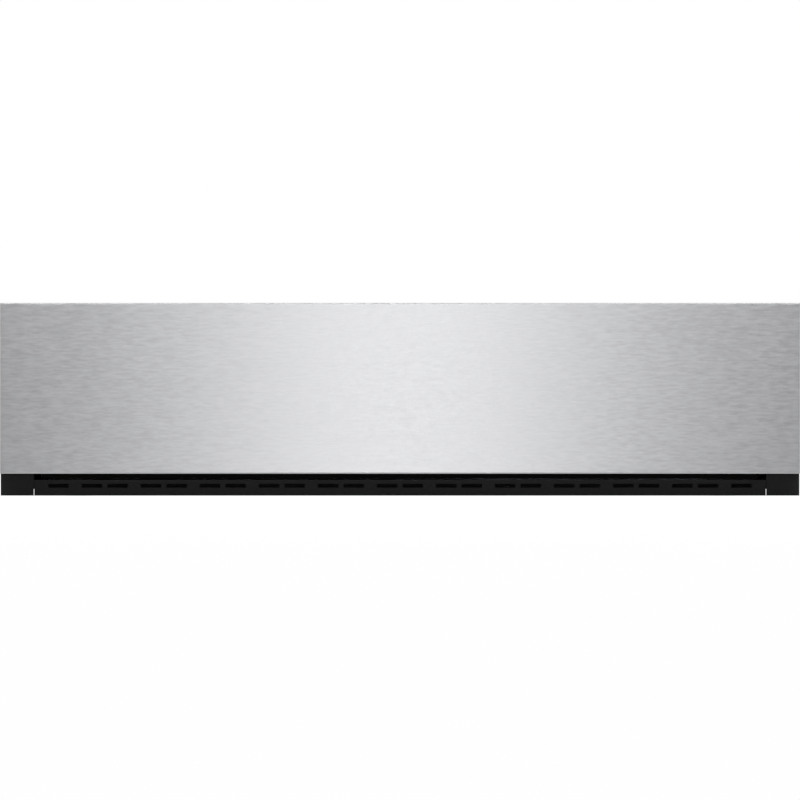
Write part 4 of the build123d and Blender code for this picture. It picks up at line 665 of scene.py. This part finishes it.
piece("hinge_pin_rivets", both_sides(rivet(5.4, 1.8, (pin_end, hinge_y, hinge_z), -along_x)),
      bright_screws, "drawer")
damper_cap = lathe([(0, 0), (0, 7.7), (1.4, 7.7), (2.3, 6.8), (2.3, 2.6), (1.2, 2.3), (1.2, 0)],
                   (bracket_end, hinge_y, hinge_z), along_x)
piece("hinge_damper_caps", both_sides(damper_cap), black_plastic, "drawer")
rail_rivet = rivet(3.2, 1.1, (0, rail_low[1] + 7.0, rail_high[2]), along_z)
piece("hinge_rail_rivets", copies(rail_rivet, [(x, 0, 0) for x in rail_rivets]), bright_screws, "lid")

# %% [markdown]
# The control strip is black glass with fine pale symbols, printed from behind and touched from the front.
# A printed line is a path moved to both sides: at a corner it moves along the bisector of the two runs,
# by half the width over the cosine of half the turn, so its width stays even. The print stands a few
# hundredths of a millimetre proud, enough for the renderer to keep it apart from the glass. Bands so
# flat already face outwards by their order, and they are left as they are.

# %% Printed lines
print_height = 0.03
glass_high = limits("control_glass")[1]
print_level = glass_high[2] + 0.01
strip_y = middle_of("control_glass")[1]


def printed_line(path, width, closed=False):
    """A flat line of even width along points (x, y) on the control glass."""
    path = np.asarray(path, float)
    ahead = np.roll(path, -1, axis=0) - path
    ahead /= np.linalg.norm(ahead, axis=1, keepdims=True) + 1e-12
    behind = np.roll(ahead, 1, axis=0)
    if not closed:
        ahead[-1] = ahead[-2]
        behind[0] = ahead[0]
    bisector = ahead + behind
    bisector /= np.linalg.norm(bisector, axis=1, keepdims=True)
    reach = width / 2 / np.sum(bisector * ahead, axis=1, keepdims=True)
    side = bisector[:, ::-1] * (-1, 1) * reach
    left, right = path + side, path - side
    section = ((left, 0.0), (left, print_height), (right, print_height), (right, 0.0))
    grid = np.stack([np.column_stack([edge, np.full(len(path), level)]) for edge, level in section], axis=1)
    return surface(grid if closed else capped(grid), closed_rows=closed)


def printed_ring(radius, width):
    """A printed circle about the middle."""
    return printed_line(arc((0, 0), radius, 0, 360, 49)[:-1], width, closed=True)


# %% [markdown]
# Only plain signs are used: a power sign, minus and plus, a vacuum ring, a seal line, a start arrow and
# two digits. Each key has a hairline ring round its sign, and a frame marks the display between them.

# %% Symbols and digits
thin = 0.45
hairline = 0.22
dash = printed_line([(-2.2, 0), (2.2, 0)], thin)
signs = {
    "power": joined(printed_line(arc((0, 0), 2.7, 125, 415, 33), thin),
                    printed_line([(0, 0.7), (0, 3.4)], thin)),
    "vacuum": joined(printed_ring(1.0, thin), printed_ring(2.9, thin)),
    "minus": dash,
    "plus": joined(dash, printed_line([(0, -2.2), (0, 2.2)], thin)),
    "seal": joined(*[printed_line([(-3.0, y), (3.0, y)], thin) for y in (-1.4, 0.0, 1.4)]),
    "start": printed_line([(-1.7, -2.5), (2.6, 0), (-1.7, 2.5)], thin, closed=True),
}
key_pitch = glass_high[0] * 0.23
key_places = [(x, strip_y, print_level) for x in key_pitch * np.array([-3.5, -2.5, -1.5, 1.5, 2.5, 3.5])]
symbols = [copies(sign, [place]) for sign, place in zip(signs.values(), key_places)]
symbols.append(copies(printed_ring(6.2, hairline), key_places))
display_frame = printed_line(rounded_loop(16.0, 8.0, 2.0, 5), hairline, closed=True)
symbols.append(copies(display_frame, [(0, strip_y, print_level)]))
piece("control_symbols", joined(*symbols), print_white, "drawer", turn_out=False)

segment_ends = {"a": ((0, 1), (1, 1)), "b": ((1, 1), (1, 0)), "c": ((1, 0), (1, -1)),
                "d": ((0, -1), (1, -1)), "e": ((0, 0), (0, -1)), "f": ((0, 1), (0, 0)),
                "g": ((0, 0), (1, 0))}


def digit(lit, width=5.0, height=4.6, gap=0.55):
    """A seven-segment number: each lit segment is a short line between two corners, less a gap at both
    ends."""
    lines = []
    for name in lit:
        first, last = (np.array(end) * (width, height) for end in segment_ends[name])
        step = (last - first) / np.linalg.norm(last - first) * gap
        lines.append(printed_line([first + step, last - step], 0.75))
    return joined(*lines)


lit_display = textured("lit_display", (0.62, 0.66, 0.68), 0.0, 0.4, 1, 0.04, 0.0,
                       Emission_Color=(0.8, 0.9, 1.0, 1.0), Emission_Strength=0.35)
digits = joined(copies(digit("abged"), [(-7.0, strip_y, print_level)]),
                copies(digit("afgcd"), [(2.2, strip_y, print_level)]))
piece("display_digits", digits, lit_display, "drawer", turn_out=False)

# %% [markdown]
# The cooling fan's blades are twisted: near the hub they stand steep, and towards the tip they lie
# flatter, because the tip moves faster. A blade is a function of two numbers, how far out along the span
# and how far round its thin section. The section is a cambered wing: its thickness grows quickly behind
# the front edge and fades to the rear one. At every radius it is turned by the local angle.

# %% Fan blades
rotor_low, rotor_high = limits("fan_rotor")
rotor_y = middle_of("fan_rotor")[1]
fan_x, _, fan_z = middle_of("cooling_fan_frame")
tip_radius = (rotor_high[2] - rotor_low[2]) / 2 - 0.3
hub_radius = 15.0
blade_count = 7


def fan_blade(turn, chord=17.0, thickness=1.9, camber=1.3, root_angle=38.0, tip_angle=24.0):
    """One blade. Span s from 0 to 1 gives the radius; round the section, u runs along the chord and w is
    camber * (1 - u^2) plus or minus thickness * sqrt(front) * (1 - front). The pair is turned by the
    local angle between the axis and the sideways direction. Both ends are closed by the mean line."""
    s = np.linspace(0, 1, 9)[:, None]
    loop = full_turn(28)[None, :]
    u = np.cos(loop)
    front = (1 - u) / 2
    half_thick = thickness * np.sqrt(front) * (1 - front) + 0.12
    w = camber * (1 - u ** 2) + np.sign(np.sin(loop)) * half_thick * np.minimum(1, 3 * np.abs(np.sin(loop)))
    radius = hub_radius - 1.0 + s * (tip_radius - hub_radius + 1.0)
    angle = np.radians(root_angle + s * (tip_angle - root_angle))
    half_chord = chord / 2 * (0.86 + 0.14 * np.sin(np.pi * s))
    axial = half_chord * u * np.cos(angle) - w * np.sin(angle)
    sideways = half_chord * u * np.sin(angle) + w * np.cos(angle)
    turned = turn + sideways / radius
    x = fan_x + radius * np.cos(turned)
    z = fan_z + radius * np.sin(turned)
    return surface(capped(np.stack([x, rotor_y + axial, z], -1)))


hub_length = rotor_high[1] - rotor_low[1]
hub = lathe([(0, 0), (0, 11.0), (0.6, 13.6), (2.2, hub_radius), (hub_length - 0.4, hub_radius),
             (hub_length, hub_radius - 0.4), (hub_length, 0)], (fan_x, rotor_low[1], fan_z), along_y)
blades = [fan_blade(2 * np.pi * number / blade_count) for number in range(blade_count)]
piece("fan_rotor_twisted", joined(hub, *blades), black_plastic, "cooling_fan", "fan_rotor")

# %% [markdown]
# Behind the tub's rear wall a wire guard keeps fingers out of the fan: three rings on four spokes, each
# spoke bent into an eye round a screw. Rings are circles of a wire's section swung about the fan's axis.

# %% Finger guard
guard_y = limits("drawer_tub")[1][1] + 1.2
guard_wire = 0.9
eye_spread = 35.75
eye_radius = 3.4
spoke_start = 10.4
spoke_end = eye_spread * np.sqrt(2) - 4.2


def wire_ring(middle, radius, columns=56):
    """A closed ring of the guard's wire: a small circle at the ring's radius swung about the fan's axis."""
    return lathe(arc((0.0, radius), guard_wire, 0, 360, 13)[:-1], middle, along_y, columns, ring=True)


guard = [wire_ring((fan_x, guard_y, fan_z), radius) for radius in (11.0, 21.0, 31.0)]
eyes = []
for x_side, z_side in ((1, 1), (-1, 1), (-1, -1), (1, -1)):
    outwards = np.array([x_side, 0, z_side]) / np.sqrt(2)
    guard.append(tube(spoke_start, spoke_end, 0, guard_wire, (fan_x, guard_y + 0.6, fan_z), outwards, 12))
    eye_x, eye_z = fan_x + x_side * eye_spread, fan_z + z_side * eye_spread
    eyes += [wire_ring((eye_x, guard_y, eye_z), eye_radius, columns=24),
             pan_head(3.1, 2.0, (eye_x, guard_y - 0.4, eye_z), along_y)]
piece("fan_guard", joined(*guard, *eyes), bright_screws, "drawer")

# %% [markdown]
# In the mains socket stand three flat contacts of bright brass with rounded ends. The middle one, for the
# earth, stands higher than the other two.

# %% Contacts of the mains socket
inlet_x, _, inlet_z = middle_of("mains_inlet")
inlet_rear = limits("mains_inlet")[1][1]
contact = soft_block((-1.06, inlet_rear - 15.9, -2.06), (1.06, inlet_rear - 2.9, 2.06), 0.8, upright="y")
contact_places = [(inlet_x + side * 7.0, 0, inlet_z - drop) for side, drop in ((-1, 4.0), (0, 0.0), (1, 4.0))]
piece("inlet_contacts", copies(contact, contact_places), brass, "casing")

# %% [markdown]
# The toroidal transformer is one long wire wound round a ring. Its surface is a function of two angles:
# one round the ring, one round the section, which is a rounded rectangle of the superellipse kind. The
# wire adds the absolute value of a cosine. Its argument is half of (turns * ring angle + section angle),
# so once round the section the wire has moved on by one turn, as on the real winding. A dished washer on
# a rubber pad and a nut clamp the ring.

# %% Transformer
coil_low, coil_high = limits("transformer")
ring_x, ring_y = middle_of("transformer")[:2]
ring_outer = (coil_high[0] - coil_low[0]) / 2
ring_inner = 18.0
nut_rise = 7.0
ring_top = coil_high[2] - nut_rise


def winding(turns=110, wire=0.45, exponent=2.8, columns=660, rows=36):
    """Superellipse section (cos and sin raised to 2 / exponent, with their signs) swept round the ring,
    with the wire's bulge added to both half sizes."""
    around = full_turn(columns)[None, :]
    section = full_turn(rows)[:, None]
    bulge = wire * (np.abs(np.cos((turns * around + section) / 2)) - 1)
    across = np.sign(np.cos(section)) * np.abs(np.cos(section)) ** (2 / exponent)
    upward = np.sign(np.sin(section)) * np.abs(np.sin(section)) ** (2 / exponent)
    radius = (ring_outer + ring_inner) / 2 + ((ring_outer - ring_inner) / 2 + bulge) * across
    height = (ring_top + coil_low[2]) / 2 + ((ring_top - coil_low[2]) / 2 + bulge) * upward
    x = ring_x + radius * np.cos(around)
    y = ring_y + radius * np.sin(around)
    return surface(np.stack([x, y, height], -1), closed_rows=True)


piece("transformer_winding", winding(), copper, "drawer", "transformer")
pad_radius = 33.0
pad_place = (ring_x, ring_y, ring_top)
pad = tube(0, 0.7, ring_inner, pad_radius, pad_place, along_z)
piece("transformer_pad", pad, foot_rubber, "drawer")
dish = lathe([(-1.6, 0), (-1.6, 10), (0.7, ring_inner), (0.7, pad_radius - 0.6), (1.1, pad_radius),
              (1.7, pad_radius), (1.7, ring_inner), (-0.6, 10.4), (-0.6, 0)], pad_place, along_z, columns=64)
shank_length = ring_top - coil_low[2] - 1.0
shank = tube(0, shank_length, 0, 4.0, (ring_x, ring_y, coil_low[2]), along_z, columns=24)
nut = copies(hex_screw(13.0, nut_rise + 0.6, 8.6, 1.2), [(ring_x, ring_y, ring_top - 0.6)])
piece("transformer_washer", joined(dish, shank, nut), bright_screws, "drawer")

# %% [markdown]
# Moulded and cast parts leave their tools only if their walls lean a little. So the boxes on the power
# board are drafted blocks: narrower at the top by a fixed amount, with a rounded upper rim. The same shape
# with a strong draft makes the fins of the heat sink.

# %% Drafted blocks
def drafted_block(low, high, draft, rim, corner):
    """Levels of a rounded loop from low to high: both half sizes shrink by draft over the full height, and
    over the last rim of height by a quarter circle more."""
    low, high = np.asarray(low, float), np.asarray(high, float)
    height = high[2] - low[2]
    t = np.linspace(0, np.pi / 2, edge_steps)
    level = np.concatenate([[0.0], height - rim + rim * np.sin(t)])
    rounding = np.concatenate([[0.0], rim * (1 - np.cos(t))]) * 0.98
    inset = rounding + np.asarray(draft)[..., None] * level / height
    inset_x, inset_y = np.broadcast_to(inset, (2, len(level)))
    half = (high - low)[:2] / 2
    loops = rounded_loop(half[0] - inset_x, half[1] - inset_y, corner, edge_steps) + (low[:2] + half)
    return surface(capped(at_levels(loops, low[2] + level)))


# %% [markdown]
# The power board carries a finned heat sink, three relays, three capacitors and a terminal strip. Its
# plate takes the place of the CAD node, and what stands on it is placed from the plate's corners.

# %% Power board
board_low, board_high = limits("power_board")
board_bottom = board_low[2] + 8.0
board_top = board_bottom + 1.6
margin = 8.0
left_column = board_low[0] + margin
board_plate = soft_block((*board_low[:2], board_bottom), (*board_high[:2], board_top), 0.25, 2.5)
piece("power_board_plate", board_plate, laminate, "drawer", "power_board")

sink_front = board_low[1] + 20.0
sink_right = left_column + 28.0
fin_pitch = 8.0
fin_sheet = 2.0
fin_count = 6
sink_rear = sink_front + (fin_count - 1) * fin_pitch + fin_sheet
sink_base = drafted_block((left_column, sink_front, board_top), (sink_right, sink_rear, board_top + 4.0),
                          0.1, 0.4, 0.5)
fin = drafted_block((left_column, sink_front, board_top + 3.5),
                    (sink_right, sink_front + fin_sheet, board_top + 30.0), (0.0, 0.45), 0.5, 0.52)
fins = copies(fin, in_a_row(fin_count, fin_pitch * along_y))
piece("heat_sink", joined(sink_base, fins), anodised, "drawer")

relay_pitch = 26.0
relay = drafted_block((left_column, board_low[1] + 80.0, board_top),
                      (left_column + 16.0, board_low[1] + 100.0, board_top + 16.0), 0.3, 0.8, 1.2)
relays = copies(relay, in_a_row(3, relay_pitch * along_y))
piece("relays", relays, pale_plastic, "drawer")

# %% [markdown]
# A capacitor is a turned can in a printed sleeve, rolled in near its foot and crimped at the top, where
# bare metal shows. The terminal strip is one drafted block repeated in a row, with a clamp screw in
# each, and the board stands on four hexagonal posts.

# %% Capacitors, terminals and posts
can_radius = 11.0
can_pitch = 28.0
can_x = board_high[0] - margin - can_radius
can_places = in_a_row(3, can_pitch * along_y) + (can_x, board_low[1] + 90.0, board_top)
sleeve = lathe([(0, 0), (0, 10.3), (0.8, can_radius), (2.6, can_radius), (3.4, 10.3), (4.4, 10.3),
                (5.2, can_radius), (30.9, can_radius), (31.7, 10.6), (32.0, 10.0), (31.6, 9.4), (31.3, 9.2),
                (31.3, 0)], (0, 0, 0), along_z)
can_top = lathe([(31.3, 0), (31.3, 9.15), (31.5, 9.0), (31.5, 0)], (0, 0, 0), along_z)
piece("capacitors", copies(sleeve, can_places), capacitor_sleeve, "drawer")
piece("capacitor_tops", copies(can_top, can_places), anodised, "drawer")

terminal_rear = board_high[1] - 30.0
terminal_depth = 10.0
terminal_count = 6
terminal_pitch = (sink_right + 18.0 - left_column) / terminal_count
terminals = in_a_row(terminal_count, terminal_pitch * along_x) + (left_column, 0, 0)
terminal = drafted_block((0, terminal_rear - terminal_depth, board_top),
                         (terminal_pitch - 0.3, terminal_rear, board_top + 10.8), 0.25, 0.5, 0.6)
piece("terminal_strip", copies(terminal, terminals), grey_plastic, "drawer")

clamp_screw = pan_head(2.4, 1.2, (terminal_pitch / 2, terminal_rear - terminal_depth / 2, board_top + 10.7),
                       along_z, 0.5)
corner_screw = pan_head(3.0, 1.8, (0, 0, board_top), along_z)
post_levels = np.array([board_low[2], board_low[2], board_bottom, board_bottom])[:, None]
post_sizes = np.array([0.0, 1.0, 1.0, 0.0])[:, None]
post = stacked(post_levels, post_sizes * hexagon(full_turn(hexagon_steps), 5.4))
post_inset = 6.0
corners = [(x, y, 0) for x, y in inset_corners(board_low, board_high, post_inset)]
posts_and_screws = joined(copies(clamp_screw, terminals), copies(corner_screw, corners),
                          copies(post, corners))
piece("board_posts_and_screws", posts_and_screws, brass, "drawer")

# %% [markdown]
# Three solenoid valves stand on one block and steer air between chamber, pump and outside. Each coil is
# moulded over, held in a bent steel yoke and locked by a nut on the valve's core tube.

# %% Solenoid valves
valve_low, valve_high = limits("solenoid_valves")
block_rear = valve_high[1] - 8.0
block_top = valve_low[2] + 26.0
valve_x = middle_of("solenoid_valves")[0]
valve_y = (valve_low[1] + block_rear) / 2
valve_block = soft_block(valve_low, (valve_high[0], block_rear, block_top), 0.8, 3.0)
piece("valve_block", valve_block, black_plastic, "drawer", "solenoid_valves")

coil_pitch = (block_rear - valve_low[1]) / 3
coil_places = in_a_row(3, coil_pitch * along_y) - coil_pitch * along_y
moulding = soft_block((valve_x - 12.5, valve_y - 9.6, block_top + 4.6),
                      (valve_x + 12.5, valve_y + 9.6, block_top + 26.4), 1.2, 5.0)
piece("valve_coils", copies(moulding, coil_places), grey_plastic, "drawer")

yoke_left, yoke_right = valve_x - 14.0, valve_x + 14.0
yoke_front, yoke_rear = valve_y - 8.0, valve_y + 8.0
yoke_low, yoke_high = block_top + 3.0, block_top + 28.0
yoke_sheet = 1.5
plates = [soft_block((yoke_left, yoke_front, level), (yoke_right, yoke_rear, level + yoke_sheet), 0.4, 1.5)
          for level in (yoke_low, yoke_high - yoke_sheet)]
spine = soft_block((yoke_left, yoke_front, yoke_low), (yoke_left + 1.4, yoke_rear, yoke_high), 0.4)
core_tube = lathe([(0, 0), (0, 5.0), (3.0, 5.0), (3.0, 4.4), (34.0, 4.4), (34.0, 3.6), (33.4, 0)],
                  (valve_x, valve_y, block_top), along_z)
core_nut = copies(hex_screw(10.0, 4.4, 5.6, 0.6), [(valve_x, valve_y, yoke_high)])
yokes = copies(joined(*plates, spine, core_tube, core_nut), coil_places)
piece("valve_yokes", yokes, bright_screws, "drawer")

# %% [markdown]
# The hoses push on ribbed ports and are held by spring bands. A port is turned, with one barb that keeps
# the hose on. A band is bent from flat wire, so it is a short tube with two ears for the pliers.

# %% Ports and spring bands of the hoses
hose_radius = 5.0
port_level = (valve_low[2] + block_top) / 2
ports = (valve_low[0] + 50.0 / 3, valve_high[0] - 12.5)
ribbed_port = lathe([(0, 0), (0, 6.0), (2.6, 6.0), (3.0, 5.6), (3.0, 4.0), (5.0, 4.0), (5.0, 4.7), (8.0, 4.0),
                     (8.3, 0)], (0, block_rear, port_level), along_y)
piece("valve_ports", copies(ribbed_port, [(x, 0, 0) for x in ports]), black_plastic, "drawer")


def spring_band(middle, axis, half_width=2.5, inner=hose_radius + 0.02, outer=hose_radius + 0.8):
    """A flat spring ring round the hose with two small ears that pliers squeeze."""
    band = tube(-half_width, half_width, inner, outer, middle, axis, columns=32)
    crosswise = np.cross(axis, along_z)
    half = np.abs(axis) * 2.0 + np.abs(crosswise) * 0.4
    places = [middle + along_z * (hose_radius + 0.4) + crosswise * side * 2.2 for side in (-1, 1)]
    return joined(band, *[soft_block(place - half, place + half + (0, 0, 4.0), 0.15) for place in places])


hose_low, hose_high = limits("vacuum_hoses")
nozzle_y = limits("suction_nozzle")[1][1] - 7.0
bands = [spring_band((hose_low[0] + 4.0, nozzle_y, hose_high[2] - hose_radius), along_x)]
bands += [spring_band((x, valve_high[1] + 4.0, port_level), along_y) for x in ports]
piece("hose_spring_bands", joined(*bands), bright_screws, "drawer")

# %% [markdown]
# The pump's oil level shows in a domed sight glass with a screwed rim, and four socket screws hold the
# pump's end plate.

# %% Sight glass and pump screws
sight_x, _, sight_z = middle_of("oil_sight_glass")
sight_place = (sight_x, limits("oil_sight_glass")[0][1], sight_z)
sight_dome = lathe([(0, 0), (0, 8.2), (2.2, 8.2), (3.2, 7.2), (3.9, 5.0), (4.2, 2.5), (4.3, 0)], sight_place,
                   along_y)
piece("sight_dome", sight_dome, oil_glass, "drawer", "oil_sight_glass")
sight_rim = lathe([(0, 8.3), (0, 11.0), (2.6, 11.0), (4.2, 10.0), (4.7, 9.0), (3.8, 8.3)], sight_place,
                  along_y, ring=True)
piece("sight_rim", sight_rim, bright_screws, "drawer")

pump_low, pump_high = limits("pump_head")
end_face = pump_high[0] - 8.0
screw_inset = 9.0
socket_screws = [pan_head(4.6, 4.2, (end_face, y, z), along_x, 0.5)
                 for y, z in inset_corners(pump_low[1:], pump_high[1:], screw_inset)]
piece("pump_end_screws", joined(*socket_screws), bright_screws, "drawer")

# %% [markdown]
# The studio is plain: a pale floor and a white surround. The camera, mirrors and clear glass see both as
# white, and everything else is lit by soft lamps. The floor answers a camera ray partly with its own
# white and partly with the light that falls on it, so that the drawer's soft shadow stays. To a mirror it
# is also a little polished, more so at a grazing view, as a studio table is: this carries the lamps'
# light up into the lower half of the brushed front.

# %% The floor
def combined(tree, operation, first, second):
    """Output of a math node on two other outputs."""
    return add_node(tree, "ShaderNodeMath", {0: first, 1: second}, operation=operation).outputs["Value"]


def floor_finish():
    """White to camera, mirror and glass rays with a share of real light for the shadow; plain to others.
    A mirror ray meets a polish too, which answers by Fresnel's law for an index of 1.5."""
    made = finish("studio_floor", (0.8, 0.8, 0.8), 0.0, 0.9)
    tree = made.node_tree
    rays = add_node(tree, "ShaderNodeLightPath").outputs
    seen = combined(tree, "MAXIMUM", rays["Is Camera Ray"], rays["Is Glossy Ray"])
    seen_through = combined(tree, "MAXIMUM", seen, rays["Is Transmission Ray"])
    white = add_node(tree, "ShaderNodeEmission", {"Strength": 0.86})
    lit = add_node(tree, "ShaderNodeBsdfDiffuse", {"Color": (0.22, 0.22, 0.22, 1.0)})
    both = add_node(tree, "ShaderNodeAddShader", {0: white.outputs["Emission"], 1: lit.outputs["BSDF"]})
    polish = add_node(tree, "ShaderNodeBsdfGlossy", {"Roughness": 0.05})
    grazing = add_node(tree, "ShaderNodeFresnel", {"IOR": 1.5})
    polished = add_node(tree, "ShaderNodeMixShader", {
        "Fac": combined(tree, "MULTIPLY", grazing.outputs["Fac"], rays["Is Glossy Ray"]),
        1: both.outputs["Shader"], 2: polish.outputs["BSDF"]})
    choose = add_node(tree, "ShaderNodeMixShader", {
        "Fac": seen_through, 1: tree.nodes["Principled BSDF"].outputs["BSDF"], 2: polished.outputs["Shader"]})
    tree.links.new(choose.outputs["Shader"], tree.nodes["Material Output"].inputs["Surface"])
    return made


floor_reach = 30.0
floor_corners = [(x * floor_reach, y * floor_reach, 0.0) for x, y in ((-1, -1), (1, -1), (1, 1), (-1, 1))]
floor_mesh = bpy.data.meshes.new("floor")
floor_mesh.from_pydata(floor_corners, [], [(0, 1, 2, 3)])
floor_mesh.materials.append(floor_finish())
floor = bpy.data.objects.new("floor", floor_mesh)
bpy.context.scene.collection.objects.link(floor)

# %% [markdown]
# The surround answers each kind of ray by its own level. Behind the camera it is almost black to a
# mirror, as a room behind a photographer is, and that gives the brushed front its darker ends.

# %% The surround
def surround(front_level, plain_level):
    """White to camera and glass rays. A mirror sees white behind the drawer and front_level before it,
    by the sideways direction of the ray. Plain surfaces get plain_level from everywhere."""
    world = bpy.data.worlds.new("studio")
    bpy.context.scene.world = world
    world.use_nodes = True
    tree = world.node_tree
    tree.nodes.clear()
    rays = add_node(tree, "ShaderNodeLightPath").outputs
    aim = add_node(tree, "ShaderNodeTexCoord")
    split = add_node(tree, "ShaderNodeSeparateXYZ", {"Vector": aim.outputs["Generated"]})
    depth = add_node(tree, "ShaderNodeMapRange", {
        "Value": split.outputs["Y"], "From Min": -0.7, "From Max": 0.1,
        "To Min": front_level, "To Max": 1.0}, interpolation_type="SMOOTHSTEP")
    levels = add_node(tree, "ShaderNodeMix", {
        "Factor": rays["Is Glossy Ray"], "A": plain_level, "B": depth.outputs["Result"]}, data_type="FLOAT")
    final = add_node(tree, "ShaderNodeMix", {
        "Factor": combined(tree, "MAXIMUM", rays["Is Camera Ray"], rays["Is Transmission Ray"]),
        "A": levels.outputs["Result"], "B": 1.0}, data_type="FLOAT")
    sky = add_node(tree, "ShaderNodeBackground", {
        "Color": (1.0, 1.0, 1.0, 1.0), "Strength": final.outputs["Result"]})
    add_node(tree, "ShaderNodeOutputWorld", {"Surface": sky.outputs["Background"]})


surround(front_level=0.04, plain_level=0.6)

# %% [markdown]
# The panel's bright middle is the picture of a narrow softbox in front of it. A brushed sheet blurs that
# picture sideways, so the box's width and distance decide how wide the glow is. The box stands low, where
# the raised glass lid doesn't mirror it to somebody behind the drawer. A long, thin strip of light above
# makes the panel's upper edge a little brighter than its lower one and throws the panel's shade on the
# black strip. A large softbox overhead gives the plain light, weak enough to leave the zinc cover grey.

# %% Lamps
def softbox(name, place, aim, size_x, size_y, watts):
    """A rectangular lamp that lights from place towards aim and isn't seen by the camera itself."""
    light = bpy.data.lights.new(name, "AREA")
    light.shape = "RECTANGLE"
    light.size = size_x
    light.size_y = size_y
    light.energy = watts
    lamp = bpy.data.objects.new(name, light)
    lamp.location = place
    lamp.rotation_mode = "QUATERNION"
    lamp.rotation_quaternion = (Vector(aim) - Vector(place)).to_track_quat("-Z", "Y")
    lamp.visible_camera = False
    bpy.context.scene.collection.objects.link(lamp)


softbox("front_softbox", (0.0, -1.75, 0.15), (0.0, -0.28, 0.12), 0.25, 0.6, 3.05)
softbox("brow_softbox", (0.0, -0.85, 0.60), (0.0, -0.28, 0.07), 1.8, 0.16, 6.6)
softbox("overhead_softbox", (0.0, -0.5, 2.4), (0.0, 0.0, 0.0), 2.6, 2.2, 18.0)

# %% [markdown]
# The photograph looks straight at the front from far away, so nothing tapers. A long lens twelve metres
# off gives that view, and it is aimed at the height that stands in the middle of the photograph.

# %% The camera
front_y = cad_box[0][1]
camera_distance = 12.0
view_height = 71.5 * mm
view_width = 595.0 * mm
camera_data = bpy.data.cameras.new("front_camera")
camera_data.sensor_width = 36.0
camera_data.lens = camera_data.sensor_width * camera_distance / view_width
camera_data.clip_end = 100.0
camera = bpy.data.objects.new("front_camera", camera_data)
camera.location = (0.0, front_y - camera_distance, view_height)
camera.rotation_mode = "QUATERNION"
camera.rotation_quaternion = Vector((0, 1, 0)).to_track_quat("-Z", "Y")
bpy.context.scene.collection.objects.link(camera)
bpy.context.scene.camera = camera
bpy.context.scene.view_settings.view_transform = "Standard"
print("lens", round(camera_data.lens), "mm at", camera_distance, "m")
